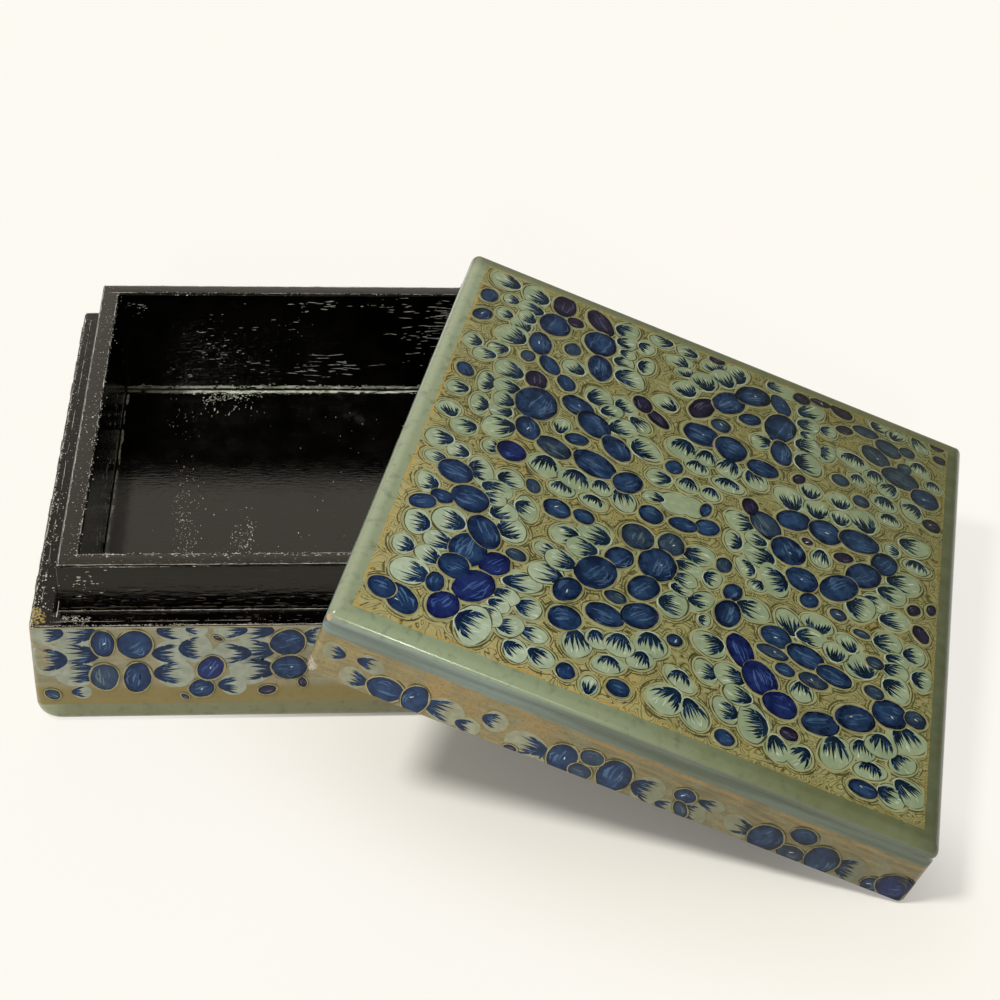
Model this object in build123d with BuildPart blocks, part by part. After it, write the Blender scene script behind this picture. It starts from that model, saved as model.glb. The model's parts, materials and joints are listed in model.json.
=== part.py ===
"""Lacquered papier mache box with a lift-off lid, in the Kashmiri manner.

A base of pressed paper boards holds a thinner inner box, whose walls stand above the base as a collar.
The lid has rim walls that slip over the collar. It lies taken off and leaning: one corner on the ground,
the left rim wall on the front of the collar and the back rim wall on the right of the collar.
Origin: centre of the underside of the base. X to the right, Y to the back, Z up. Millimetres.
"""
import os
from math import asin, cos, radians, sin, sqrt

from build123d import *

# Plan and heights
box_width = 152.0  # outside the base and the lid, along X
box_depth = 156.0  # outside the base and the lid, along Y
base_height = 30.6  # underside to the ledge that the lid closes on
collar_rise = 13.6  # inner walls above that ledge
bottom_thickness = 4.9  # board between the outer walls
floor_thickness = 5.2  # board between the inner walls, on the bottom board
lid_headroom = 3.0  # air above the collar when the lid is on
lid_top_thickness = 4.4

# Walls and their fit
outer_wall = 7.2
collar_wall = 5.2
lid_clearance = 0.4  # between the collar and the lid's rim walls, each side

# Softened edges
base_edge_round = 2.6  # round its underside
lid_edge_round = 3.0  # round its top
corner_extra = 0.2  # how much rounder the upright corners are than those edges
collar_round = 0.8  # top of the collar
worn_edge = 0.5  # rim of the lid, edge of the ledge

# Lean of the lid, measured along its own rim and along the base
left_rest_length = 42.6  # along the left rim wall, to where it rests on the front of the collar
back_rest_length = 38.2  # along the back rim wall, to where it rests on the right of the collar
rest_line_angle = 58.0  # degrees from X of the line between those two places
rest_gap = 0.3  # air left at each place where the lid bears

# Sizes that follow
base_corner_round = base_edge_round + corner_extra
lid_corner_round = lid_edge_round + corner_extra
rim_wall = outer_wall - lid_clearance
collar_top = base_height + collar_rise
rim_height = collar_rise + lid_headroom
lid_height = rim_height + lid_top_thickness
inner_width = box_width - 2 * outer_wall
inner_depth = box_depth - 2 * outer_wall
SIDES = ["front", "right", "back", "left"]


def leaning_frame():
    """Frame of the lid at rest: centred on its open rim, X and Y along its walls, Z out of its top."""
    front_spot = Vector(rim_wall, left_rest_length)
    side_spot = Vector(back_rest_length, box_depth - rim_wall)
    span = side_spot - front_spot
    along = span.normalized()
    across = Vector(along.Y, -along.X)
    tip_inset = lid_corner_round * (1 - 1 / sqrt(2))
    low_tip = Vector(box_width - tip_inset, tip_inset)
    tilt = asin(collar_top / (low_tip - front_spot).dot(across))
    heading = radians(rest_line_angle)
    level = Vector(cos(heading), sin(heading), 0)
    downhill = Vector(sin(heading) * cos(tilt), -cos(heading) * cos(tilt), -sin(tilt))
    x_dir = level * along.X + downhill * along.Y
    y_dir = level * along.Y - downhill * along.X
    z_dir = downhill.cross(level)
    front_contact = Vector(
        inner_width / 2 - span.length * cos(heading),
        -inner_depth / 2,
        collar_top + rest_gap,
    )
    # a collar corner that would reach the lid's top lifts the lid off the collar
    collar_corner = Vector(inner_width / 2, -inner_depth / 2, collar_top)
    corner_reach = (collar_corner - front_contact).dot(z_dir)
    lift = max(0, corner_reach + rest_gap - rim_height)
    to_centre_x = x_dir * (box_width / 2 - rim_wall)
    to_centre_y = y_dir * (box_depth / 2 - left_rest_length)
    centre = front_contact + to_centre_x + to_centre_y + z_dir * lift
    return Plane(origin=centre, x_dir=x_dir, z_dir=z_dir)


def save(piece, name):
    piece.part.label = name
    export_step(piece.part, f"parts/{name}.step")
    print(f"{name}: {piece.part.volume / 1000:.1f} cm3")


def wall(name, frame, side, width, depth, thickness, low, high, corner, bottom_round, top_round):
    """One mitred wall of a rectangular ring, cut out of a block whose corners and edges are softened."""
    up = Axis(frame.origin, frame.z_dir)
    run, reach = (width, depth / 2) if side % 2 == 0 else (depth, width / 2)
    with BuildPart() as piece:
        with BuildSketch(frame.offset(low)):
            RectangleRounded(width, depth, corner)
        extrude(amount=high - low)
        if bottom_round:
            fillet(piece.faces().sort_by(up)[0].edges(), bottom_round)
        if top_round:
            fillet(piece.faces().sort_by(up)[-1].edges(), top_round)
        with BuildSketch(Plane(frame.offset(low).location * Location((0, 0, 0), (0, 0, 90 * side)))):
            with BuildLine():
                Polyline(
                    (-run / 2, -reach),
                    (run / 2, -reach),
                    (run / 2 - thickness, -reach + thickness),
                    (-run / 2 + thickness, -reach + thickness),
                    close=True,
                )
            make_face()
        extrude(amount=high - low, mode=Mode.INTERSECT)
    save(piece, name)


def board(name, frame, width, depth, low, high, corner=0, top_round=0):
    """A flat board, with softened corners and top edge where it shows."""
    up = Axis(frame.origin, frame.z_dir)
    with BuildPart() as piece:
        with BuildSketch(frame.offset(low)):
            if corner:
                RectangleRounded(width, depth, corner)
            else:
                Rectangle(width, depth)
        extrude(amount=high - low)
        if top_round:
            fillet(piece.faces().sort_by(up)[-1].edges(), top_round)
    save(piece, name)


def build_base():
    """Bottom board inside four outer walls, and an inner box whose walls stand up as the collar."""
    ground = Plane.XY
    board("base_bottom_board", ground, inner_width, inner_depth, 0, bottom_thickness)
    floor_width = inner_width - 2 * collar_wall
    floor_depth = inner_depth - 2 * collar_wall
    floor_top = bottom_thickness + floor_thickness
    board("base_floor_board", ground, floor_width, floor_depth, bottom_thickness, floor_top)
    for side, place in enumerate(SIDES):
        wall(f"base_{place}_wall", ground, side, box_width, box_depth, outer_wall,
             0, base_height, base_corner_round, base_edge_round, worn_edge)
        wall(f"collar_{place}", ground, side, inner_width, inner_depth, collar_wall,
             bottom_thickness, collar_top, 2 * collar_round, 0, collar_round)


def build_lid():
    """Top board with rounded edges over four rim walls, leaning on the collar."""
    lid = leaning_frame()
    board("lid_top_board", lid, box_width, box_depth, rim_height, lid_height,
          lid_corner_round, lid_edge_round)
    for side, place in enumerate(SIDES):
        wall(f"lid_{place}_wall", lid, side, box_width, box_depth, rim_wall,
             0, rim_height, lid_corner_round, worn_edge, 0)


os.makedirs("parts", exist_ok=True)
build_base()
build_lid()
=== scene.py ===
# %% [markdown]
# # A lacquered papier mache box with its lid taken off
#
# The box is made of pressed paper boards. A low base holds a thinner inner box, whose walls
# stand up as a collar, and the lid slips over that collar. Here the lid lies taken off, leaning
# on the collar with one corner on the table. The outside is painted with blue and sage green
# flowers on an ochre ground, and everything inside is black lacquer.
#
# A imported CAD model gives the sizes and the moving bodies. The first step loads it. Nothing in
# this script moves a part of that model: it only gives each one a better looking skin.

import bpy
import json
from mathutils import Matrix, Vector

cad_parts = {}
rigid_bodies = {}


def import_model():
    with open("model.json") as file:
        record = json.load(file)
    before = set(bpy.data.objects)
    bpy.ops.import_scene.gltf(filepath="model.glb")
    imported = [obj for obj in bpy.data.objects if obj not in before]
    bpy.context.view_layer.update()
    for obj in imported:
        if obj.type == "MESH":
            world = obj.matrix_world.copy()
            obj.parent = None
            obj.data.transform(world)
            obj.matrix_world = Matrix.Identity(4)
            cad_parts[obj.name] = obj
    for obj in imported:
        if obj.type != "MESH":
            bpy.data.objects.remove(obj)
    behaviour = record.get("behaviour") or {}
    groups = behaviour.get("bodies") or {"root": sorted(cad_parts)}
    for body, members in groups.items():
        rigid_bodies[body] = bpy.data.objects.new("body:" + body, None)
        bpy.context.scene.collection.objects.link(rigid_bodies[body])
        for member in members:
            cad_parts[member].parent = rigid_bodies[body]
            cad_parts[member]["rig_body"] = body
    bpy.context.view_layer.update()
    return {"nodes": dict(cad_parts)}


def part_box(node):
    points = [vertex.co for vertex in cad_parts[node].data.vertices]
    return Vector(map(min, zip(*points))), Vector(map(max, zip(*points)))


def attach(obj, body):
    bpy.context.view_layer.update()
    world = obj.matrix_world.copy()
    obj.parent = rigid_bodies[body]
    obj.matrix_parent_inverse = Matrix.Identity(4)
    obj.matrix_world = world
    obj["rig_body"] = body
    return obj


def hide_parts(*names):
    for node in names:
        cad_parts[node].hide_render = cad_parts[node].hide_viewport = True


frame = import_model()

# %% Tools used below
import json
import math
import random

import bmesh
import bpy
from mathutils import Matrix, Vector

MM = 0.001  # the lengths in this script are millimetres, and Blender works in metres

# %% [markdown]
# ## The camera and the light
#
# The camera comes first, because it says which details matter. It stands low in front, a little
# to the left, and looks down at about 35 degrees. A matrix with the camera's right, up and
# backward directions as columns places it without any guesswork about Euler angles.

# %% Camera
camera_place = Vector((-6.04, -468.40, 343.30)) * MM
camera_heading = math.radians(6.561)  # to the right of straight back
camera_dip = math.radians(34.953)  # below the horizon
camera_roll = math.radians(3.553)


def in_scene(name, data):
    """A new object at the origin, linked to the scene."""
    thing = bpy.data.objects.new(name, data)
    bpy.context.scene.collection.objects.link(thing)
    return thing


def aimed_camera(place, heading, dip, roll, lens):
    """A camera that looks along a compass heading, tipped down by dip and rolled."""
    forward = Vector((math.sin(heading) * math.cos(dip), math.cos(heading) * math.cos(dip), -math.sin(dip)))
    level = forward.cross(Vector((0, 0, 1))).normalized()
    upright = level.cross(forward)
    right = math.cos(roll) * level + math.sin(roll) * upright
    up = right.cross(forward)
    camera = in_scene("camera", bpy.data.cameras.new("camera"))
    turn = Matrix((right, up, -forward)).transposed().to_4x4()
    camera.matrix_world = Matrix.Translation(place) @ turn
    camera.data.lens = lens
    camera.data.clip_start = 0.01
    return camera


bpy.context.scene.camera = aimed_camera(camera_place, camera_heading, camera_dip, camera_roll, 71.83)
bpy.context.scene.view_settings.view_transform = "Standard"
print("camera at", tuple(round(x, 3) for x in bpy.context.scene.camera.location))

# %% [markdown]
# Every finish, and the light itself, is a small node tree. These helpers keep the trees short. A
# value given to an input may be a plain number, or the output of another node, which is then
# linked. A plain colour is given as it shows on a screen, from 0 to 255.

# %% Node helpers
def material_of(name):
    """A new material, with its node tree and its Principled shader at hand."""
    material = bpy.data.materials.new(name)
    material.use_nodes = True
    return material, material.node_tree, material.node_tree.nodes["Principled BSDF"]


def from_srgb(red, green, blue):
    """The linear colour that shows as these 0 to 255 screen values."""
    steps = []
    for value in (red, green, blue):
        share = value / 255
        steps.append(share / 12.92 if share <= 0.04045 else ((share + 0.055) / 1.055) ** 2.4)
    return (*steps, 1.0)


def feed(tree, socket, value):
    """Link an output to an input, or write a plain value in it."""
    if isinstance(value, bpy.types.NodeSocket):
        tree.links.new(value, socket)
    else:
        socket.default_value = value


def add_node(tree, kind, inputs, **settings):
    """A node with its settings, and its inputs given by name or number."""
    node = tree.nodes.new(kind)
    for name, value in settings.items():
        setattr(node, name, value)
    for key, value in inputs.items():
        feed(tree, node.inputs[key], value)
    return node


print("middle grey on a screen is", round(from_srgb(128, 128, 128)[0], 3), "in the linear light of a node")

# %% Arithmetic, noise and mixing
def calculate(tree, operation, first, second=0.0, clamp=False):
    """One step of arithmetic on two numbers."""
    inputs = {0: first, 1: second}
    return add_node(tree, "ShaderNodeMath", inputs, operation=operation, use_clamp=clamp).outputs[0]


def plus(tree, first, second):
    """The sum of two numbers."""
    return calculate(tree, "ADD", first, second)


def minus(tree, first, second):
    """The first number without the second."""
    return calculate(tree, "SUBTRACT", first, second)


def times(tree, first, second):
    """The product of two numbers."""
    return calculate(tree, "MULTIPLY", first, second)


def cloudy(tree, place, scale, detail=3.0, distortion=0.0):
    """Soft noise from 0 to 1. A scale of 1 makes spots about a millimetre across."""
    inputs = {"Vector": place, "Scale": scale, "Detail": detail, "Distortion": distortion}
    return add_node(tree, "ShaderNodeTexNoise", inputs).outputs["Fac"]


def between(tree, value, low, high, least=0.0, most=1.0):
    """The least below low, the most above high and a smooth change in between."""
    inputs = {"Value": value, 1: low, 2: high, 3: least, 4: most}
    return add_node(tree, "ShaderNodeMapRange", inputs, interpolation_type="SMOOTHSTEP").outputs[0]


def blend(tree, share, first, second):
    """Colour between two colours, each an output or a plain screen colour."""
    inputs = {0: share}
    for socket, colour in ((6, first), (7, second)):
        inputs[socket] = from_srgb(*colour) if isinstance(colour, tuple) else colour
    return add_node(tree, "ShaderNodeMix", inputs, data_type="RGBA").outputs[2]


def stained(tree, colour, share, strength, shade):
    """A colour with a plain one let in, by a share and at most to a strength."""
    return blend(tree, times(tree, share, strength), colour, shade)


def spots(tree, place, scale, detail, low, high):
    """Noise pushed apart: 0 where it is under low, 1 where it is over high."""
    return between(tree, cloudy(tree, place, scale, detail), low, high)


print("arithmetic, noise and mixing ready")

# %% [markdown]
# A soft lamp high on the left, a weaker one from the front and a warm white room make the plain
# light of a product table. The room is brightest straight behind, which the lacquer mirrors, and
# darker behind on the right. The floor takes that light, so it keeps the soft shadow; in an oval
# in front of the box it glows less, which paints that shadow deeper.

# %% Room and lamps
ROOM_TINT = (1.0, 0.945, 0.85, 1)
EVEN_LIGHT = 0.32  # strength of the room all round
PALE_WALL = ((-0.04, 0.8, 0.6), 16, 30, 0.63)  # direction, inner and outer angle, strength added
DARK_WALL = ((0.55, 0.5, 0.66), 14, 34, 0.3)  # the same, strength taken away
WINDOW = ((0.52, 0.17, -0.85), 2.1, 12)  # where it shines to, strength, spread
LAMP = ((0.13, 0.9, -0.36), 0.44, 4)


def sun(name, towards, strength, spread):
    """A distant lamp that shines along a direction. A wide spread softens its shadow."""
    lamp = in_scene(name, bpy.data.lights.new(name, "SUN"))
    lamp.rotation_mode = "QUATERNION"
    lamp.rotation_quaternion = Vector(towards).to_track_quat("-Z", "Y")
    lamp.data.energy = strength
    lamp.data.angle = math.radians(spread)


def patch_of_sky(tree, towards, near, far, at_centre):
    """A value that rises smoothly from 0, far from a direction in the sky, to at_centre along it."""
    way = tree.nodes.new("ShaderNodeTexCoord").outputs["Generated"]
    inputs = {0: way, 1: Vector(towards).normalized()}
    facing_it = add_node(tree, "ShaderNodeVectorMath", inputs, operation="DOT_PRODUCT").outputs["Value"]
    low, high = math.cos(math.radians(far)), math.cos(math.radians(near))
    return between(tree, facing_it, low, high, most=at_centre)


def room_light(world):
    """Even warm light, with a wide pale wall straight behind and a dark one behind on the right."""
    tree = world.node_tree
    sky = tree.nodes["Background"]
    sky.inputs["Color"].default_value = ROOM_TINT
    total = plus(tree, patch_of_sky(tree, *PALE_WALL), EVEN_LIGHT)
    less = calculate(tree, "SUBTRACT", total, patch_of_sky(tree, *DARK_WALL), clamp=True)
    path = tree.nodes.new("ShaderNodeLightPath")
    # seen directly, behind the floor, the room is white
    feed(tree, sky.inputs["Strength"], calculate(tree, "MAXIMUM", less, path.outputs["Is Camera Ray"]))


world = bpy.data.worlds.new("studio")
world.use_nodes = True
bpy.context.scene.world = world
room_light(world)
sun("window", *WINDOW)
sun("lamp", *LAMP)

# %% Floor
FLOOR_REACH = 3.0  # metres, from the middle to each side


def glow_share(tree):
    """How much of the floor is seen as a lit backdrop: little in an oval in front of the box, where its
    shadow falls, which paints that shadow deeper and the floor there a little darker.
    """
    place = tree.nodes.new("ShaderNodeTexCoord").outputs["Object"]
    inputs = {
        "Vector": place,
        "Location": (0.062, -0.112, 0),
        "Rotation": (0, 0, math.radians(-31)),
        "Scale": (0.075, 0.031, 1),
    }
    spot = add_node(tree, "ShaderNodeMapping", inputs, vector_type="TEXTURE").outputs[0]
    away = add_node(tree, "ShaderNodeVectorMath", {0: spot}, operation="LENGTH").outputs["Value"]
    return between(tree, away, 0.5, 1.9, 0.1, 0.8)


def pale_floor_material():
    """A white table top. What looks straight at it, or mirrors it, sees part of it as a lit backdrop."""
    material, tree, shader = material_of("pale_floor")
    shader.inputs["Base Color"].default_value = from_srgb(255, 251, 240)
    shader.inputs["Roughness"].default_value = 0.9
    shader.inputs["Specular IOR Level"].default_value = 0.1
    path = tree.nodes.new("ShaderNodeLightPath").outputs
    either = calculate(tree, "MAXIMUM", path["Is Camera Ray"], path["Is Glossy Ray"])
    seen = calculate(tree, "MAXIMUM", either, path["Is Transmission Ray"])
    glow = add_node(tree, "ShaderNodeEmission", {"Color": from_srgb(254, 251, 245)})
    parts = {0: times(tree, seen, glow_share(tree)), 1: shader.outputs[0], 2: glow.outputs[0]}
    mixed = add_node(tree, "ShaderNodeMixShader", parts)
    feed(tree, tree.nodes["Material Output"].inputs["Surface"], mixed.outputs[0])
    return material


floor_mesh = bpy.data.meshes.new("floor")
floor_corners = [(FLOOR_REACH * x, FLOOR_REACH * y, 0) for x, y in ((-1, -1), (1, -1), (1, 1), (-1, 1))]
floor_mesh.from_pydata(floor_corners, [], [(0, 1, 2, 3)])
floor = in_scene("floor", floor_mesh)
floor_mesh.materials.append(pale_floor_material())
print("floor", 2 * FLOOR_REACH, "metres wide")

# %% [markdown]
# ## Where the base and the lid are
#
# The base stands square on the floor, but the lid leans, so its walls follow no world axis. Its
# directions are read from the CAD boards: the largest flat side of a board gives its facing.
# Each box then gets a matrix that turns lengths along its own walls into places in the scene.

# %% Read the two boxes
def facing(node, towards):
    """Direction of the largest flat side of a CAD node that looks towards a rough direction."""
    sums = {}
    for polygon in frame["nodes"][node].data.polygons:
        if polygon.normal.dot(Vector(towards)) > 0.1:
            key = tuple(round(x, 2) for x in polygon.normal)
            sums[key] = sums.get(key, Vector()) + polygon.normal * polygon.area
    return max(sums.values(), key=lambda total: total.length).normalized()


def box_frame(body, right, up):
    """Matrix from a box's own millimetres to the scene, and its width, depth and height."""
    back = up.cross(right)
    nodes = [n for n in frame["nodes"].values() if n["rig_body"] == body]
    points = [vertex.co for node in nodes for vertex in node.data.vertices]
    lows = [min(p.dot(axis) for p in points) for axis in (right, back, up)]
    highs = [max(p.dot(axis) for p in points) for axis in (right, back, up)]
    place = Matrix((right, back, up)).transposed().to_4x4()
    place.translation = right * lows[0] + back * lows[1] + up * lows[2]
    sizes = [(high - low) / MM for low, high in zip(lows, highs)]
    return place @ Matrix.Scale(MM, 4), sizes


base_place, base_sizes = box_frame("base", Vector((1, 0, 0)), Vector((0, 0, 1)))
lid_right, lid_up = facing("lid_right_wall", (1, 0, 0)), facing("lid_top_board", (0, 0, 1))
lid_place, lid_sizes = box_frame("lid", lid_right, lid_up)
print("base", [round(x, 1) for x in base_sizes], "lid", [round(x, 1) for x in lid_sizes])

# %% [markdown]
# ## The boxes
#
# Base, inner box and lid are all trays: rounded rectangles stacked up the outside, over the rim
# and down the inside. Listing those rings with their height and how far they step in gives a
# clean quad mesh, with the small rounded edges that worn lacquer has. A lathe or a modelled
# cube with bevels would work too, but the list of rings says every size in one place.

# %% Tray maker
CORNER_STEPS = 7
SIDE_STEPS = 6


def rounded_ring(width, depth, corner, inset, height):
    """Points of one rounded rectangle, seen from above running against the clock."""
    radius = max(corner - inset, 0.3)
    left, right = inset + radius, width - inset - radius
    front, back = inset + radius, depth - inset - radius
    centres = [(right, front, -90), (right, back, 0), (left, back, 90), (left, front, 180)]
    arcs = []
    for x, y, start in centres:
        turns = [math.radians(start + 90 * step / CORNER_STEPS) for step in range(CORNER_STEPS + 1)]
        arcs.append([Vector((x + radius * math.cos(t), y + radius * math.sin(t), height)) for t in turns])
    points = []
    for arc, following in zip(arcs, arcs[1:] + arcs[:1]):
        points += arc
        points += [arc[-1].lerp(following[0], step / SIDE_STEPS) for step in range(1, SIDE_STEPS)]
    return points


def rounding(height, inset, radius, start, stop, steps):
    """Height and inset of the rings that round one edge, by the angle round its centre."""
    turns = [math.radians(start + (stop - start) * step / steps) for step in range(steps + 1)]
    return [(height + radius * math.sin(t), inset - radius * math.cos(t)) for t in turns]


def tray(name, place, width, depth, corner, rings, parts):
    """A closed mesh through rings of (height, inset).

    corner gives the roundness of the upright corners at a height, and parts the material of each band."""
    work = bmesh.new()
    loops = [[work.verts.new(place @ p) for p in rounded_ring(width, depth, corner(height), inset, height)]
             for height, inset in rings]
    for row, (low, high) in enumerate(zip(loops, loops[1:])):
        for index in range(len(low)):
            after = (index + 1) % len(low)
            face = work.faces.new((low[index], low[after], high[after], high[index]))
            face.material_index = parts(rings[row], rings[row + 1])
    first = work.faces.new(list(reversed(loops[0])))
    last = work.faces.new(loops[-1])
    first.material_index = parts(rings[0], rings[0])
    last.material_index = parts(rings[-1], rings[-1])
    for face in work.faces:
        face.smooth = True
    bmesh.ops.recalc_face_normals(work, faces=work.faces)
    mesh = bpy.data.meshes.new(name)
    work.to_mesh(mesh)
    work.free()
    return in_scene(name, mesh)


print("a ring of a tray has", 4 * (CORNER_STEPS + SIDE_STEPS), "points")

# %% [markdown]
# The paint will lie on the boxes as a thin layer of its own, so the painted boxes are made a
# fifth of a millimetre smaller than the finished sizes on every outer side.

# %% Sizes read from the boards
paint = 0.2  # thickness left for paint and lacquer
collar_wall = 5.2
rim_wall = 6.8
width, depth, lid_height = lid_sizes
ledge_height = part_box("base_front_wall")[1].z / MM
collar_top = base_sizes[2]
outer_wall = (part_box("base_left_wall")[1].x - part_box("base_left_wall")[0].x) / MM
floor_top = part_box("base_floor_board")[1].z / MM
print("ledge", round(ledge_height, 2), "collar", round(collar_top, 2))
print("wall", round(outer_wall, 2), "floor", round(floor_top, 2))

# %% The painted base
PAINTED, BLACK = 0, 1  # material slots of the trays
EDGE = 0.5  # how round the lacquered rims have worn
HAIR = 0.05  # air between the base and the inner box
FOOT_ROUND = 2.6  # under the base
BASE_CORNER = 1.8  # how round its upright corners are
FOOT = 6.0  # height up to which they are rounder than that


def base_rings():
    """Up the outside of the base, over the ledge and down inside it."""
    rings = [(0, 22), (0, 5.2)]
    rings += rounding(FOOT_ROUND, FOOT_ROUND + paint, FOOT_ROUND, -90, 0, 9)
    rings += [(5.2, paint), (12, paint), (20, paint), (27, paint), (29, paint)]
    rings += rounding(ledge_height - EDGE, EDGE + paint, EDGE, 0, 90, 4)
    rings += [(ledge_height, inset) for inset in (1.2, 3, 5, outer_wall - HAIR)]
    rings += [(5.0, outer_wall - HAIR), (5.0, 22)]
    return rings


def foot_corner(height):
    """The base's upright corners get rounder towards its foot."""
    return BASE_CORNER + 0.9 * max(0.0, FOOT - height)


def base_finish(low, high):
    """Black from the worn edge of the ledge inwards, painted below it."""
    on_ledge = max(low[0], high[0]) > ledge_height - 0.1
    further_in = min(low[1], high[1]) > 6 and low[0] > 1
    return BLACK if on_ledge or further_in else PAINTED


base_case = tray("base_case", base_place, width, depth, foot_corner, base_rings(), base_finish)
print(base_case.name, len(base_case.data.polygons), "faces")

# %% The inner box
COLLAR_ROUND = 0.8  # along the top of the collar
FLOOR_ROUND = 0.7  # where lacquer fills the corner of floor and wall


def inner_box_rings():
    """Up the outside of the collar, over its rounded top, and down to the floor inside."""
    outside = outer_wall
    inside = outside + collar_wall
    rings = [(5.1, 30), (5.1, outside), (ledge_height - 1, outside), (ledge_height + 1, outside)]
    rings += [(ledge_height + step, outside) for step in (4, 8, 11)]
    rings += rounding(collar_top - COLLAR_ROUND, outside + COLLAR_ROUND, COLLAR_ROUND, 0, 90, 5)
    rings += rounding(collar_top - COLLAR_ROUND, inside - COLLAR_ROUND, COLLAR_ROUND, 90, 180, 5)
    rings += [(height, inside) for height in (41, 36, 30, 24, 18, 13)]
    rings += rounding(floor_top + FLOOR_ROUND, inside + FLOOR_ROUND, FLOOR_ROUND, 0, -90, 4)
    rings += [(floor_top, inside + 2), (floor_top, 30)]
    return rings


inner_box = tray("inner_box", base_place, width, depth, foot_corner, inner_box_rings(), lambda low, high: 0)
print(inner_box.name, len(inner_box.data.polygons), "faces")

# %% The lid
LID_ROUND = 3.0  # round its top
LID_BOARD = 4.4  # thickness of its top
LID_CORNER = 2.4  # how round its upright corners are
CHANNEL = ((15.8, 0.25), (16.6, 0.4), (17.3, 0.3), (17.6, 0.08))  # height and depth of the one under its edge


def lid_rings():
    """The lid in its own directions, open side down: its hollow, rim, outside and top."""
    hollow = lid_height - LID_BOARD
    rings = [(hollow, 30), (hollow, rim_wall + 1), (hollow - 0.5, rim_wall), (10, rim_wall), (1, rim_wall)]
    rings += rounding(EDGE, rim_wall - EDGE, EDGE, 180, 270, 4)
    rings += [(0, 5), (0, 3), (0, 1.5)]
    rings += rounding(EDGE, EDGE + paint, EDGE, 270, 360, 4)
    rings += [(2, paint), (8, paint), (14, paint), (15.4, paint)]
    rings += [(height, paint + deep) for height, deep in CHANNEL]
    rings += rounding(lid_height - LID_ROUND - paint, LID_ROUND + paint, LID_ROUND, 0, 90, 8)
    rings += [(lid_height - paint, 3.6), (lid_height - paint, 22)]
    return rings


def lid_finish(low, high):
    """Painted outside, black under the rim and in the hollow."""
    on_side = min(low[0], high[0]) >= EDGE / 2 and min(low[1], high[1]) < rim_wall - 1
    on_top = low[0] > 20
    return PAINTED if on_side or on_top else BLACK


lid_case = tray("lid_case", lid_place, width, depth, lambda height: LID_CORNER, lid_rings(), lid_finish)
print(lid_case.name, len(lid_case.data.polygons), "faces")

# %% [markdown]
# ## Finishes
#
# A finish follows the walls of its own box, so that its bands and streaks run along them, also
# on the leaning lid. The matrix of the box, turned round, gives such a place to the node tree.

# %% Places on a box
def own_place(tree, place, stretch=(1, 1, 1)):
    """Where a point lies along a box's own walls, in millimetres, from its front left corner."""
    inverse = place.inverted()
    coordinates = add_node(tree, "ShaderNodeTexCoord", {}).outputs["Object"]
    inputs = {
        "Vector": coordinates,
        "Location": inverse.translation,
        "Rotation": inverse.to_euler(),
        "Scale": inverse.to_scale(),
    }
    mapped = add_node(tree, "ShaderNodeMapping", inputs).outputs[0]
    if stretch == (1, 1, 1):
        return mapped
    return add_node(tree, "ShaderNodeMapping", {"Vector": mapped, "Scale": stretch}).outputs[0]


def chipped(tree, place, centre, size):
    """1 round a worn corner, with a ragged outline."""
    ends = {0: place, 1: centre}
    away = add_node(tree, "ShaderNodeVectorMath", ends, operation="DISTANCE").outputs["Value"]
    ragged = plus(tree, away, times(tree, cloudy(tree, place, 0.7, 4.0), size * 1.4))
    return between(tree, ragged, size * 1.75, size * 1.6)


print("places on a box ready")

# %% [markdown]
# ### Black lacquer
#
# Inside, the paper is covered with black lacquer, almost a mirror on the floor. Years of use
# have left grey scuffs that run along the walls, and pale specks near the edges. Stretched
# noise makes the scuffs. Fine noise, let through only where a wide noise is high, makes the
# specks, so that they come in groups and not like salt.

# %% Black lacquer
LEDGE_CHIP = (0.0, 4.6, ledge_height)


def black_lacquer(name, gloss):
    """Black lacquer. The rubbed ledge gets less gloss than the inside."""
    material, tree, shader = material_of(name)
    place = own_place(tree, base_place)
    along = own_place(tree, base_place, (0.16, 0.16, 1.1))
    grain = own_place(tree, base_place, (0.35, 1.2, 1.2))
    scuffs = spots(tree, along, 1.0, 5.0, 0.6, 0.72)
    worn = spots(tree, place, 0.06, 2.0, 0.5, 0.7)
    specks = spots(tree, place, 2.6, 2.0, 0.67, 0.72)
    marks = times(tree, calculate(tree, "MAXIMUM", scuffs, specks), worn)
    dull = spots(tree, place, 0.12, 4.0, 0.35, 0.75)
    ground = blend(tree, dull, (1, 1, 1), (8, 7, 5))
    colour = stained(tree, ground, marks, 0.08, (120, 114, 102))
    bare = chipped(tree, place, LEDGE_CHIP, 4.2)
    broken = spots(tree, place, 1.4, 4.0, 0.4, 0.55)
    colour = blend(tree, times(tree, bare, broken), colour, (168, 148, 82))
    feed(tree, shader.inputs["Base Color"], colour)
    rough = plus(tree, times(tree, dull, 0.1), 0.08)
    feed(tree, shader.inputs["Roughness"], rough)
    shader.inputs["Specular IOR Level"].default_value = gloss
    shader.inputs["Specular Tint"].default_value = (1.0, 0.94, 0.8, 1)
    relief = plus(tree, cloudy(tree, along, 0.8, 4.0), cloudy(tree, grain, 1.0, 3.0))
    relief = plus(tree, relief, times(tree, cloudy(tree, place, 2.4, 3.0), 0.05))
    height = add_node(tree, "ShaderNodeSeparateXYZ", {0: place}).outputs["Z"]
    uneven = plus(tree, times(tree, between(tree, height, 11, 13), 0.42), 0.38)
    bump = add_node(tree, "ShaderNodeBump", {"Height": relief, "Distance": 0.00012, "Strength": uneven})
    feed(tree, shader.inputs["Normal"], bump.outputs[0])
    return material


black = black_lacquer("black_lacquer", 0.36)
rubbed_black = black_lacquer("rubbed_black_lacquer", 0.18)
print(black.name, rubbed_black.name, len(black.node_tree.nodes), "nodes")

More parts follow.
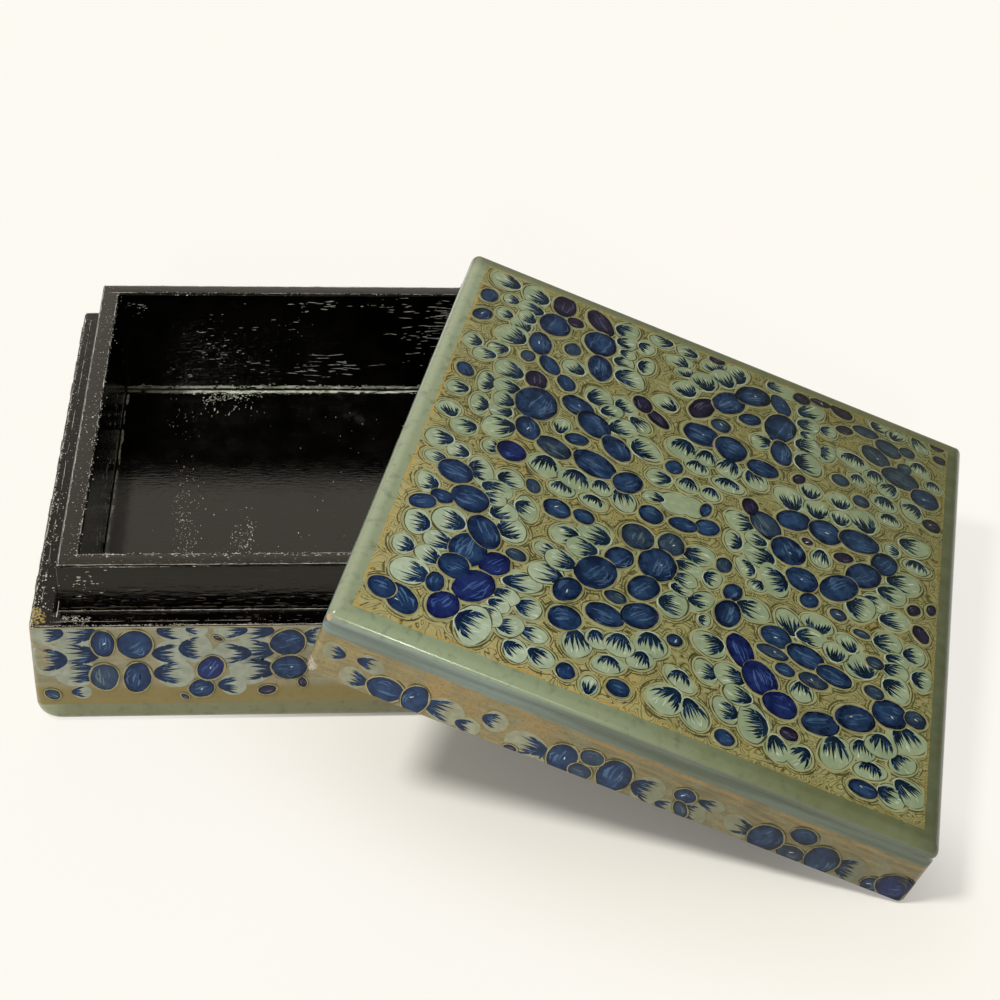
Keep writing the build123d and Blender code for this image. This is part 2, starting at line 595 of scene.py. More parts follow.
# %% [markdown]
# ### Painted ground
#
# The painter first laid an ochre ground, then filled what the flowers leave free with fine
# curling lines. Lines of equal height of a soft noise, like those on a map, curl in that way.
# A plain sage band runs along the upper edges of the lid and round the foot of the base. On the
# lid's top a broken gold ochre line parts it from the ground, and on the sides the two meet
# softly. The distance from the edges says which of them a point is.

# %% Ground of the lid's top
def scrolls(tree, place):
    """Fine curling lines: 1 on a line and 0 beside it, and the pale ribbons between them."""
    hills = cloudy(tree, place, 0.14, 1.5, 1.2)
    steps = times(tree, hills, 15.0)
    wave = calculate(tree, "PINGPONG", steps, 0.5)
    return between(tree, wave, 0.13, 0.03), between(tree, wave, 0.18, 0.4)


def top_ground(tree, place, fade_and_painted_light):
    """Pale olive ground with brown lines and cream ribbons, warmer in patches, greyer towards the back right:
    partly dulled paint, partly a painted sheen of reflected light.
    """
    lines, ribbons = scrolls(tree, place)
    patches = spots(tree, place, 0.05, 3.0, 0.53, 0.72)
    warm = blend(tree, patches, (138, 134, 84), (166, 140, 68))
    plain = stained(tree, warm, ribbons, 0.7, (168, 164, 114))
    near = between(tree, fade_and_painted_light, 0.0, -0.6)
    plain = stained(tree, plain, near, 0.55, (194, 182, 126))
    drawn = stained(tree, plain, lines, 0.9, (72, 66, 34))
    grey = blend(tree, 0.45, drawn, (88, 88, 60))
    return blend(tree, fade_and_painted_light, drawn, grey)


print("ground of the top ready")

# %% Grounds of the sides
def lid_side_ground(tree, place, split):
    """Ochre brushed lengthwise, greyer and darker to the right, partly its paint and partly painted shade,
    with fine brown curls and bare spots.
    """
    streaks = cloudy(tree, own_place(tree, lid_place, (0.3, 0.3, 1.6)), 0.5, 4.0)
    flecks = spots(tree, place, 1.1, 3.0, 0.58, 0.7)
    curls = between(tree, calculate(tree, "PINGPONG", times(tree, streaks, 12.0), 0.5), 0.16, 0.04)
    ochre = blend(tree, between(tree, streaks, 0.3, 0.7), (154, 140, 94), (130, 118, 74))
    warm = blend(tree, spots(tree, place, 0.06, 2.0, 0.5, 0.75), ochre, (162, 134, 76))
    grey = blend(tree, between(tree, streaks, 0.3, 0.7), (130, 118, 80), (100, 92, 60))
    # darker to the right: partly the paint, partly painted shade
    right = plus(tree, split["X"], times(tree, cloudy(tree, place, 0.05, 2.0), 40.0))
    plain = blend(tree, between(tree, right, 50, 120), warm, grey)
    bald = spots(tree, place, 0.13, 4.0, 0.5, 0.66)
    plain = stained(tree, plain, bald, 0.5, (126, 128, 102))
    drawn = stained(tree, plain, curls, 0.5, (86, 76, 46))
    return stained(tree, drawn, flecks, 0.55, (98, 92, 64))


def base_side_ground(tree, place, split):
    """The base is grey sage and tan above and olive ochre in a strip over its foot."""
    streaks = cloudy(tree, own_place(tree, base_place, (0.3, 0.3, 1.6)), 0.4, 4.0)
    sage = blend(tree, between(tree, streaks, 0.3, 0.7), (156, 150, 124), (134, 130, 102))
    worn = spots(tree, place, 0.11, 3.0, 0.52, 0.68)
    mixed = stained(tree, sage, worn, 0.7, (164, 144, 108))
    fine = spots(tree, place, 0.9, 4.0, 0.55, 0.72)
    mixed = stained(tree, mixed, fine, 0.35, (104, 100, 74))
    height = plus(tree, split["Z"], times(tree, streaks, 3.0))
    low = between(tree, height, 14.5, 11.5)
    return stained(tree, mixed, low, 0.85, (134, 120, 70))


print("grounds of the sides ready")

# %% Band and channel
def band_colour(tree, place, split, front_shades):
    """Sage green band: yellower and lighter along the left, grey along the front and darker towards its
    right, dark olive on the right and back. Partly the paint's own colour, partly painted light on the side
    the lamp comes from and painted shade on the sides away from it.
    """
    left = between(tree, split["X"], 9, 2)
    right = between(tree, split["X"], width - 9, width - 2)
    back = between(tree, split["Y"], depth - 9, depth - 2)
    front = blend(tree, between(tree, split["X"], 30, 130), *front_shades)
    colour = blend(tree, left, front, (150, 160, 128))
    colour = blend(tree, right, colour, (74, 78, 48))
    colour = blend(tree, back, colour, (100, 100, 66))
    streaks = cloudy(tree, place, 0.25, 4.0)
    colour = stained(tree, colour, streaks, 0.3, (150, 162, 138))
    stains = spots(tree, place, 0.3, 4.0, 0.52, 0.72)
    return stained(tree, colour, stains, 0.35, (84, 96, 74))


def channel_colour(tree, place, split):
    """The channel under the lid's edge: grey blue, streaked lengthwise and darker towards the right. Its
    darkness is partly the paint and partly painted shade in the hollow and away from the lamp.
    """
    streaks = between(tree, cloudy(tree, own_place(tree, place, (0.02, 0.02, 0.45)), 1.0, 4.0), 0.3, 0.7)
    left = blend(tree, streaks, (104, 116, 106), (134, 150, 144))
    right = blend(tree, streaks, (74, 84, 64), (98, 110, 98))
    return blend(tree, between(tree, split["X"], 20, 100), left, right)


print("band and channel ready")

# %% Gold line, wear and varnish
BASE_CHIP = (0.5, 2.0, 31.0)  # chipped corners, all at the front left
LID_CHIP = (0.4, 0.4, 18.6)
LOW_CHIP = (0.3, 0.3, 2.4)


def gilded(tree, here, split, inwards, gilt, colour):
    """A colour with the broken gold line on it, greyer towards the right."""
    rim = calculate(tree, "ABSOLUTE", minus(tree, inwards, 0.45))
    gold = between(tree, rim, 0.42, 0.16)
    thin = spots(tree, here, 0.14, 4.0, 0.36, 0.62)
    shine = times(tree, times(tree, gold, thin), gilt)
    gilding = blend(tree, between(tree, split["X"], 50, 145), (194, 156, 66), (130, 114, 58))
    return blend(tree, shine, colour, gilding)


def worn_paint(tree, here, on_lid, colour):
    """A colour with stains on it, and with bare paper at the chipped corners."""
    mottle = spots(tree, here, 0.6, 5.0, 0.5, 0.8)
    colour = stained(tree, colour, mottle, 0.22, (84, 84, 60))
    bare = chipped(tree, here, LID_CHIP if on_lid else BASE_CHIP, 1.5)
    broken = spots(tree, here, 1.6, 4.0, 0.38, 0.5)
    colour = blend(tree, times(tree, bare, broken), colour, (188, 162, 130))
    if on_lid:
        crumbled = times(tree, chipped(tree, here, LOW_CHIP, 2.2), broken)
        colour = blend(tree, crumbled, colour, (176, 170, 154))
    return colour


def varnish(tree, shader, here, gloss):
    """The clear lacquer over the paint: glossy, with a soft unevenness from hand polishing."""
    cloud = cloudy(tree, here, 0.2, 4.0)
    feed(tree, shader.inputs["Roughness"], plus(tree, times(tree, cloud, 0.16), 0.11))
    shader.inputs["Specular IOR Level"].default_value = gloss
    grain = cloudy(tree, here, 1.3, 3.0)  # of the paper under the lacquer
    swell = plus(tree, cloudy(tree, here, 0.05, 2.0), times(tree, grain, 0.05))
    bump = add_node(tree, "ShaderNodeBump", {"Height": swell, "Distance": 0.0003, "Strength": 0.4})
    feed(tree, shader.inputs["Normal"], bump.outputs[0])


print("gold line, wear and varnish ready")

# %% Painted outsides
BAND = 5.1  # width of the plain band on the top of the lid
LID_BAND_LOW = 14.2  # where the band starts on the lid's sides, above its rim
BASE_BAND_HIGH = 5.7  # where the band round the foot of the base ends
# the band's front runs from light at the left to dark at the right: partly its paint, partly painted light
# and shade
LID_SHADES = ((146, 160, 126), (92, 97, 58))  # of the band's front, at the left and at the right
BASE_SHADES = ((122, 122, 92), (112, 106, 72))


def lid_layout(tree, here, split, wander):
    """How far a point of the lid lies in from its band, the change on its sides, its ground and gilding."""
    near_x = calculate(tree, "MINIMUM", split["X"], minus(tree, width, split["X"]))
    near_y = calculate(tree, "MINIMUM", split["Y"], minus(tree, depth, split["Y"]))
    edge = plus(tree, calculate(tree, "MINIMUM", near_x, near_y), wander)
    side = plus(tree, minus(tree, LID_BAND_LOW, split["Z"]), wander)
    side = times(tree, side, 0.15)  # a soft change
    inwards = calculate(tree, "MAXIMUM", minus(tree, edge, BAND), side)
    way = plus(tree, split["X"], split["Y"])
    # greyer towards the back right, yellower at the front left; the greying is partly dulled paint and partly
    # a painted sheen of reflected light
    fade_and_painted_light = minus(tree, between(tree, way, 110, 300), between(tree, way, 120, 20))
    on_top = between(tree, split["Z"], 19, 20)
    ground = blend(tree, on_top, lid_side_ground(tree, here, split), top_ground(tree, here, fade_and_painted_light))
    return inwards, side, ground, times(tree, on_top, 0.7)


def painted(name, place, on_lid):
    """Painted outside of the base or the lid. Its coordinates follow that box's own walls."""
    material, tree, shader = material_of(name)
    here = own_place(tree, place)
    split = add_node(tree, "ShaderNodeSeparateXYZ", {0: here}).outputs
    wander = times(tree, minus(tree, cloudy(tree, here, 0.15), 0.5), 0.8)
    if on_lid:
        inwards, side, ground, gilt = lid_layout(tree, here, split, wander)
        band = band_colour(tree, here, split, LID_SHADES)
        # under the edge the band turns to the channel's darker grey blue: partly paint, partly painted shade
        # in that hollow
        below = between(tree, split["Z"], 19.3, 18.5)
        band = blend(tree, below, band, channel_colour(tree, place, split))
    else:
        inwards = plus(tree, minus(tree, split["Z"], BASE_BAND_HIGH), wander)
        ground, gilt = base_side_ground(tree, here, split), 0.0
        band = band_colour(tree, here, split, BASE_SHADES)
    colour = blend(tree, between(tree, inwards, -0.1, 0.1), band, ground)
    if on_lid:  # a faint broken line of ochre where the band starts
        under = between(tree, calculate(tree, "ABSOLUTE", minus(tree, side, 0.14)), 0.13, 0.02)
        patchy = spots(tree, here, 0.12, 4.0, 0.32, 0.6)
        under = times(tree, times(tree, under, patchy), 0.5)
        colour = blend(tree, under, colour, (158, 126, 72))
    colour = gilded(tree, here, split, inwards, gilt, colour)
    colour = worn_paint(tree, here, on_lid, colour)
    feed(tree, shader.inputs["Base Color"], colour)
    varnish(tree, shader, here, 0.5 if on_lid else 0.25)
    return material


painted_lid = painted("painted_lid", lid_place, True)
painted_base = painted("painted_base", base_place, False)
base_case.data.materials.append(painted_base)
base_case.data.materials.append(rubbed_black)
lid_case.data.materials.append(painted_lid)
lid_case.data.materials.append(black)
inner_box.data.materials.append(black)
print("painted:", painted_lid.name, painted_base.name)

# %% [markdown]
# ## Brush strokes
#
# Every petal, outline and hair line of the flowers is one touch of a brush. A touch is a short
# closed plate, thin as paint, with a length, a width, a taper and a bend. Thousands of them
# repeat, so Geometry Nodes makes them: one point with the touch's values goes in, and the tree
# puts a small disc there, draws it out to that shape and gives it its paint. Touches that lie
# over each other differ in height by a few thousandths of a millimetre, as layers of paint do.

# %% What a touch carries
VECTORS = ("along", "across", "raised")
NUMBERS = ("bend", "taper", "tone")


def attribute_of(tree, name, kind):
    """A value stored on every touch."""
    node = add_node(tree, "GeometryNodeInputNamedAttribute", {"Name": name}, data_type=kind)
    return node.outputs["Attribute"]


def scaled(tree, vector, amount):
    """A vector drawn out by a number."""
    inputs = {0: vector, "Scale": amount}
    return add_node(tree, "ShaderNodeVectorMath", inputs, operation="SCALE").outputs["Vector"]


def added(tree, *vectors):
    """The sum of some vectors."""
    total = vectors[0]
    for vector in vectors[1:]:
        inputs = {0: total, 1: vector}
        total = add_node(tree, "ShaderNodeVectorMath", inputs, operation="ADD").outputs["Vector"]
    return total


print("values of a touch:", VECTORS + NUMBERS)

# %% The tree that draws the touches
def brush_tree():
    """Points with a touch's values in, painted touches out."""
    tree = bpy.data.node_groups.new("brush_touches", "GeometryNodeTree")
    face = tree.interface
    face.new_socket("Geometry", in_out="INPUT", socket_type="NodeSocketGeometry")
    sides = face.new_socket("Corners", in_out="INPUT", socket_type="NodeSocketInt")
    unsteady = face.new_socket("Unsteady hand", in_out="INPUT", socket_type="NodeSocketFloat")
    paint_in = face.new_socket("Paint", in_out="INPUT", socket_type="NodeSocketMaterial")
    face.new_socket("Geometry", in_out="OUTPUT", socket_type="NodeSocketGeometry")
    given = tree.nodes.new("NodeGroupInput").outputs
    shape = {"Vertices": given["Corners"], "Radius": 1.0, "Depth": 1.0}
    disc = add_node(tree, "GeometryNodeMeshCylinder", shape, fill_type="NGON")
    position = tree.nodes.new("GeometryNodeInputPosition").outputs[0]
    kept = tree.nodes.new("GeometryNodeCaptureAttribute")
    kept.capture_items.new("VECTOR", "place on disc")
    feed(tree, kept.inputs[0], disc.outputs["Mesh"])
    feed(tree, kept.inputs[1], position)
    stamp = {"Points": given["Geometry"], "Instance": kept.outputs[0]}
    placed = add_node(tree, "GeometryNodeInstanceOnPoints", stamp)
    solid = add_node(tree, "GeometryNodeRealizeInstances", {0: placed.outputs[0]})
    local = add_node(tree, "ShaderNodeSeparateXYZ", {0: kept.outputs[1]}).outputs
    apart = times(tree, attribute_of(tree, "tone", "FLOAT"), 91.0)  # another bit of noise for each touch
    spot = add_node(tree, "ShaderNodeCombineXYZ", {0: local["X"], 1: local["Y"], 2: apart}).outputs[0]
    shake = add_node(tree, "ShaderNodeTexNoise", {"Vector": spot, "Scale": 1.1, "Detail": 1.0}).outputs[0]
    grow = plus(tree, 1.0, times(tree, minus(tree, shake, 0.5), given["Unsteady hand"]))
    x = times(tree, local["X"], grow)
    slim = minus(tree, 1.0, times(tree, attribute_of(tree, "taper", "FLOAT"), x))
    sag = times(tree, attribute_of(tree, "bend", "FLOAT"), minus(tree, times(tree, x, x), 0.5))
    y = plus(tree, times(tree, times(tree, local["Y"], grow), slim), sag)
    z = plus(tree, local["Z"], 0.5)
    parts = [scaled(tree, attribute_of(tree, name, "FLOAT_VECTOR"), amount)
             for name, amount in zip(VECTORS, (x, y, z))]
    moved = added(tree, *parts, scaled(tree, kept.outputs[1], -1.0))
    shaped = add_node(tree, "GeometryNodeSetPosition", {"Geometry": solid.outputs[0], "Offset": moved})
    whole = add_node(tree, "GeometryNodeRealizeInstances", {0: shaped.outputs[0]})
    finish = {"Geometry": whole.outputs[0], "Material": given["Paint"]}
    coloured = add_node(tree, "GeometryNodeSetMaterial", finish)
    out = tree.nodes.new("NodeGroupOutput")
    feed(tree, out.inputs[0], coloured.outputs[0])
    names = {"Corners": sides.identifier, "Unsteady hand": unsteady.identifier}
    return tree, {**names, "Paint": paint_in.identifier}


brush, brush_inputs = brush_tree()
print("brush tree with", len(brush.nodes), "nodes")

# %% [markdown]
# ### Where the touches go
#
# Touches are listed on flat panels: the top of the lid and the four sides of each box. A panel
# is a matrix like that of its box, with its corner at the lower left as one looks at it, so a
# touch is written as if the panel were a sheet of paper, in millimetres to the right and up.

# %% Panels
RIGHTWARDS, LEFTWARDS = (1, 0, 0), (-1, 0, 0)
BACKWARDS, FORWARDS = (0, 1, 0), (0, -1, 0)
UPWARDS = (0, 0, 1)


def panel(place, corner, right, up):
    """Matrix from a flat sheet to the scene, from a box's own matrix and directions on it."""
    right, up = Vector(right), Vector(up)
    sheet = Matrix((right, up, right.cross(up))).transposed().to_4x4()
    sheet.translation = Vector(corner)
    return place @ sheet


def four_sides(place):
    """The front, right, back and left of a box, just outside its painted skin."""
    return {
        "front": panel(place, (0, paint, 0), RIGHTWARDS, UPWARDS),
        "right": panel(place, (width - paint, 0, 0), BACKWARDS, UPWARDS),
        "back": panel(place, (width, depth - paint, 0), LEFTWARDS, UPWARDS),
        "left": panel(place, (paint, depth, 0), FORWARDS, UPWARDS),
    }


base_sides = four_sides(base_place)
lid_sides = four_sides(lid_place)
lid_top = panel(lid_place, (0, 0, lid_height - paint), RIGHTWARDS, BACKWARDS)
print("panels:", 1 + len(base_sides) + len(lid_sides))

# %% Sheets of touches
random_hand = random.Random(17)


def heading_of(degrees):
    """The direction of an angle on a panel."""
    return Vector((math.cos(math.radians(degrees)), math.sin(math.radians(degrees))))


class Sheet:
    """The touches painted on one panel, kept by colour and by how many corners they need."""

    def __init__(self, name, ringed=True):
        self.name = name
        self.ringed = ringed  # whether lines follow the outlines of the flowers
        self.lobes = "sage" if ringed else "dull_sage"
        self.touches = {}

    def touch(self, colour, u, v, long, wide, turn, coat, corners, bend=0.0, taper=0.0, tone=None):
        """One touch: centre, half length and half width in millimetres, turn in degrees, coat number."""
        tone = random_hand.random() if tone is None else tone
        row = (u, v, long, wide, turn, bend, taper, coat, tone)
        self.touches.setdefault((colour, corners), []).append(row)

    def amount(self):
        """How many touches are on the sheet."""
        return sum(len(rows) for rows in self.touches.values())


def reach(long, wide, turn, towards):
    """How far an oval reaches from its centre in a direction."""
    angle = math.radians(towards - turn)
    return 1 / math.hypot(math.cos(angle) / long, math.sin(angle) / wide)


print("an oval of 2 by 1 reaches", round(reach(2, 1, 0, 45), 2), "at 45 degrees")

# %% Outlines and combs
OUTLINES = (("line", 1.75), ("ground", 1.52), ("line", 0.98), ("ribbon", 0.76))  # colour, how far out
HAIR_GAP = 0.9  # between the hairs of a comb
HAIR_WIDTH = 0.3


def contours(sheet, u, v, long, wide, turn):
    """Two lines that follow the outline, with the pale ground between them."""
    if not sheet.ringed:
        return
    for coat, (colour, beyond) in enumerate(OUTLINES, start=1):
        sheet.touch(colour, u, v, long + beyond, wide + beyond, turn, coat, corners=24)


def comb(sheet, u, v, long, wide, turn, towards, coat):
    """A thin dark crescent along one side of a lobe, with tapering hairs that point to the other side."""
    rim = reach(long, wide, turn, towards)
    half = reach(long, wide, turn, towards + 90) * (1.0 if sheet.ringed else 0.95)
    full, shorter = (0.2, 1.0) if sheet.ringed else (0.27, 0.85)
    out = heading_of(towards)
    side = Vector((-out.y, out.x))
    middle = Vector((u, v))
    heart = middle + out * rim * 0.66
    sheet.touch("navy", heart.x, heart.y, half * 0.66, rim * full, towards + 90, coat, bend=rim * 0.42,
                corners=16)
    count = max(4, round(half * 2 / HAIR_GAP))
    for index in range(count):
        share = 2 * (index + 0.5) / count - 1
        length = rim * (1.3 - 0.4 * share * share) * random_hand.uniform(0.6, 1.12) * shorter
        start = heart + side * half * 0.64 * share + out * rim * (0.12 - 0.42 * share * share)
        heading = towards + 180 - 18 * share + random_hand.uniform(-7, 7)
        step = heading_of(heading)
        spot = start + step * length * 0.5
        sheet.touch("navy", spot.x, spot.y, length * 0.5, HAIR_WIDTH, heading, coat, taper=0.88, corners=8,
                    bend=0.35 * share)
        if random_hand.random() < 0.45:
            glow = start + step * length * 0.36 + side * random_hand.uniform(-0.3, 0.3)
            sheet.touch("light_blue", glow.x, glow.y, length * 0.3, 0.13, heading, coat + 0.5, taper=0.6,
                        corners=8, bend=0.2 * share, tone=random_hand.random() * 0.6)
    if sheet.ringed:
        edge = middle + out * rim * 0.93
        sheet.touch("pale", edge.x, edge.y, half * 0.62, 0.15, towards + 90, coat + 0.4, bend=rim * 0.4,
                    corners=10)
        for _ in range(3):
            spot = middle - out * rim * random_hand.uniform(-0.1, 0.6)
            spot += side * half * random_hand.uniform(-0.5, 0.5)
            sheet.touch("pale", spot.x, spot.y, rim * random_hand.uniform(0.15, 0.35),
                        random_hand.uniform(0.08, 0.2), towards + random_hand.uniform(-25, 25), coat - 0.4,
                        taper=0.6, corners=8)


print("hairs", HAIR_GAP, "mm apart,", len(OUTLINES), "outlines")

# %% Lobes
LOBE_FULLNESS = 1.06  # how much larger than listed, so that neighbours meet


def lobe(sheet, order, u, v, long, wide, turn, towards):
    """A pale sage lobe of a blossom, plain where towards is None. Later lobes lie over earlier ones."""
    long, wide = long / 2 * LOBE_FULLNESS, wide / 2 * LOBE_FULLNESS
    coat = 5 + 3 * order
    contours(sheet, u, v, long, wide, turn)
    if sheet.ringed:
        sheet.touch("line", u, v, long + 0.2, wide + 0.2, turn, coat, corners=22)
    else:
        sheet.touch("ring", u, v, long + 0.14, wide + 0.14, turn, coat, corners=22, tone=0.3)
    sheet.touch(sheet.lobes, u, v, long, wide, turn, coat + 1, corners=22)
    if towards is not None:
        comb(sheet, u, v, long, wide, turn, towards, coat + 2)


print("lobes", LOBE_FULLNESS, "times the size listed")

# %% Petals
PETAL_COAT = 25  # above every lobe
PETAL_STEP = 4.4  # how many coats one petal of a chain lies over the one before
PETAL_FULLNESS = 1.05


def streaks(sheet, coat, u, v, long, wide, turn, colour):
    """Lighter brush marks that run along a petal, curved with its sides."""
    along = heading_of(turn)
    across = Vector((-along.y, along.x))
    lean = random_hand.uniform(-0.3, 0.3)
    for step in range(max(3, round(long * wide * 0.4))):
        off = max(-0.75, min(0.75, lean + random_hand.uniform(-0.5, 0.5)))
        room = math.sqrt(1 - off * off)
        spot = Vector((u, v)) + across * wide * off + along * long * random_hand.uniform(-0.35, 0.35) * room
        sheet.touch("light_" + colour, spot.x, spot.y, long * random_hand.uniform(0.3, 0.55) * room,
                    random_hand.uniform(0.1, 0.26), turn + random_hand.uniform(-6, 6), coat + 0.02 * step,
                    bend=-0.4 * wide * off, taper=random_hand.uniform(-0.7, 0.7), corners=8,
                    tone=random_hand.random() ** 1.6)


def soft_light(sheet, coat, u, v, long, wide, turn, colour):
    """Patches inside each other, each a little lighter, where the blue was worked wet towards the light."""
    towards = heading_of(random_hand.uniform(0, 360))
    tone = random_hand.uniform(0.25, 0.6)
    for step, size in enumerate((0.8, 0.64, 0.48, 0.32)):
        off = wide * (0.9 - size) * 0.45
        spot = Vector((u, v)) + towards * off
        sheet.touch(colour, spot.x, spot.y, long * size, wide * size, turn + random_hand.uniform(-12, 12),
                    coat + 0.04 * step, corners=16, tone=tone + 0.22 * step)


def petal(sheet, order, u, v, long, wide, turn, colour="blue"):
    """A dark blue oval petal: cream ring, dark outline, blue, and lighter streaks along it."""
    long, wide = long / 2 * PETAL_FULLNESS, wide / 2 * PETAL_FULLNESS
    coat = PETAL_COAT + order * PETAL_STEP
    contours(sheet, u, v, long, wide, turn)
    if not sheet.ringed:
        sheet.touch("line", u, v, long + 0.5, wide + 0.5, turn, coat - 0.6, corners=22, tone=0.4)
        sheet.touch("ring", u, v, long + 0.36, wide + 0.36, turn, coat - 0.3, corners=22, tone=0.6)
    sheet.touch("ring", u, v, long + 0.3, wide + 0.3, turn, coat, corners=22)
    for paint_name, beyond, higher in (("ink", 0.06, 0.35), (colour, -0.16, 0.5)):
        sheet.touch(paint_name, u, v, long + beyond, wide + beyond, turn, coat + higher, corners=22,
                    tone=random_hand.random() * 0.3)
    soft_light(sheet, coat + 0.58, u, v, long, wide, turn, colour)
    streaks(sheet, coat + 0.85, u, v, long, wide, turn, colour)
    if random_hand.random() < 0.3:
        glint_turn = turn + random_hand.uniform(-50, 50)
        right = u + random_hand.uniform(-0.2, 0.2) * long
        up = v + random_hand.uniform(-0.2, 0.2) * wide
        sheet.touch("white", right, up, random_hand.uniform(0.35, 0.8), 0.14, glint_turn, coat + 1.0,
                    taper=0.7, corners=6)


print("petals", PETAL_FULLNESS, "times the size listed")

# %% Whole flowers
def bloom(sheet, petals, lobes):
    """One flower: its pale lobes, then its petals over them."""
    for order, values in enumerate(lobes):
        lobe(sheet, min(order, 6) * 0.95, *values)
    for order, values in enumerate(petals):
        petal(sheet, order * 0.3 % 1.5, *values)


def loose(sheet, petals, lobes, order):
    """Lobes, then petals over them, that belong to no one flower."""
    for values in lobes:
        lobe(sheet, order, *values)
    for number, values in enumerate(petals):
        petal(sheet, number % 5 * 0.3, *values)


print("flowers ready to paint")

# %% [markdown]
# ### The flowers on the lid
#
# The pattern is the old one of flowers seen from the side: a chain of three blue petals, and
# behind it about six sage green lobes, each with a dark comb. Every flower turns another way,
# and small buds fill the spaces. The flowers are written one by one, because a regular
# copy would look printed. A row holds the petals of one flower, then its lobes. Each of them is:
# right, up, length, width, turn, and then the colour of a petal that is not plain blue, or the
# direction of the dark side of a lobe.

# %% Flowers of the left half
FLOWERS_LEFT = [
    ([(29.5, 146, 9, 6.5, 85, "plum"), (28.5, 136, 9.5, 8.5, 80), (26.3, 125.3, 9.5, 6.2, 100)],
     [(20.8, 145.5, 9, 7, 110, -10), (14.6, 139.7, 5, 4.2, 80, 0), (14.3, 132.3, 5, 4.5, 80, 0),
      (20.6, 139, 7, 6.5, 0, 0), (19.8, 130.6, 6.5, 5.5, 0, -50), (20.5, 134.5, 5, 6, 0, -30),
      (18.4, 124.4, 9.5, 7, 40, -20)]),
    ([(40.5, 145.2, 10.5, 6.3, -50, "plum"), (42.2, 135.6, 10, 9, 80), (44, 125, 10.5, 6.8, 100)],
     [(48.5, 146, 8, 6, 70, 180), (55, 142.2, 6, 4.5, 80, 160), (49.3, 140.8, 5.5, 6, 0, 200),
      (56.3, 133.5, 7.5, 4.5, 80, 180), (50, 131.8, 5.5, 6, 0, 200), (50.5, 136, 4.5, 4.5, 0, 180),
      (52.6, 126, 9, 7.5, 140, 200)]),
    ([(28.4, 109.4, 7, 5.8, 100, "plum"), (30.5, 99.8, 13, 11, 75), (30.3, 88.9, 8.5, 6.3, 110)],
     [(20.7, 109.3, 8, 7.5, 90, -10), (16, 100.8, 9, 4.5, 90, 0), (16.3, 91, 8, 4.5, 100, 0),
      (21.5, 101.8, 6.5, 7, 90, 10), (22, 91.6, 6, 7, 20, 10), (22, 96.3, 5.5, 6.5, 0, -10),
      (23, 85.2, 9, 7.5, 60, 30)]),
    ([(41.3, 105.3, 9.5, 7, -20), (46.8, 100.4, 10, 8, -40), (54.2, 94.6, 9.5, 7, -45)],
     [(46.3, 112.5, 8, 7, 120, 220), (53.5, 113.5, 7, 5.5, -40, 220), (58.8, 108, 6.5, 5, -40, 150),
      (50.3, 109, 6.5, 5, 20, 220), (61.5, 99, 10, 7, -35, 220), (54.3, 104, 7.5, 7, 20, 220)]),
    ([(38.3, 85.3, 9.5, 6.8, -15, "slate"), (49.7, 85, 12, 8.8, -15), (59.3, 83, 9, 7, 50)],
     [(37.5, 77, 8.5, 7.5, -20, 90), (59.3, 76, 8.5, 6.5, -60, 110), (43.3, 71, 7, 5, 0, 90),
      (51.8, 70.8, 7, 4.5, -10, 90), (46, 76.3, 9, 7, 0, 90), (53, 77, 6, 5.5, 0, 100)]),
    ([(16.5, 62, 8.8, 8, 0), (22.3, 54.3, 9.5, 9, 0), (28.2, 44.7, 11, 7.5, -60)],
     [(22.5, 66, 9.5, 6, 110, 200), (30.3, 67.2, 7, 6, -30, 200), (36.3, 58.8, 8.5, 5, 110, 170),
      (28, 61.3, 7.5, 6.5, 0, 180), (34.3, 49.5, 9, 7, 120, 230), (31, 54.5, 7.5, 6.5, 0, 230),
      (28, 57.8, 6, 5, 0, 190)]),
    ([(25.8, 36.5, 11.5, 9, 80), (24, 29.5, 7.5, 8, 0)],
     [(19, 44.3, 9, 7.5, 60, 0), (12, 39.5, 8.5, 6, 100, 10), (10.8, 30.3, 6.5, 5, 90, 0),
      (18.5, 36, 7.5, 6.5, 20, 0), (17.3, 30, 6.5, 6, 0, -20), (14.5, 22.5, 9.5, 8, 40, 0)]),
    ([(33, 35.3, 8.5, 6.8, 55, "royal"), (30, 25.5, 12, 8.5, 60, "royal"),
      (24.5, 15.7, 9, 7, 70, "royal")],
     [(41, 33, 9.5, 6.5, 20, 200), (44, 25.3, 7, 6, 90, 180), (38, 26.3, 6.5, 5.5, 20, 170),
      (37, 22.7, 5, 5, 0, 180), (41, 17.3, 7.5, 5.5, 60, 200), (35.8, 18.2, 6.5, 5.5, -40, 170),
      (32.7, 13.3, 12.5, 8, 85, 170)]),
    ([(52.8, 26.8, 8, 7.5, 30), (62, 33, 9.8, 7, 0), (70.5, 37.3, 10, 7.8, 45)],
     [(57.3, 20.3, 8.5, 7, 80, 110), (65.8, 17.5, 8, 5, 25, 90), (61.7, 24, 6, 5.5, -20, 110),
      (74.5, 29, 8.5, 7.5, 30, 100), (72.8, 22.7, 7, 5, 40, 80), (67, 25, 7.5, 7, 10, 90)]),
    ([(62, 54.3, 8.5, 6.5, 55), (57.3, 46, 12, 9.5, 60), (51.5, 36.5, 8.8, 6, 65)],
     [(54.5, 59, 9, 7.5, 60, 0), (47.3, 55.3, 7.5, 6, 60, 20), (43.7, 47.3, 5, 5, 0, 0),
      (52.3, 52.8, 7.5, 7, 20, 10), (45.5, 39.3, 9, 7, 30, 0), (48, 45.5, 7.5, 7, 20, 0)]),
]
print("flowers on the left:", len(FLOWERS_LEFT))

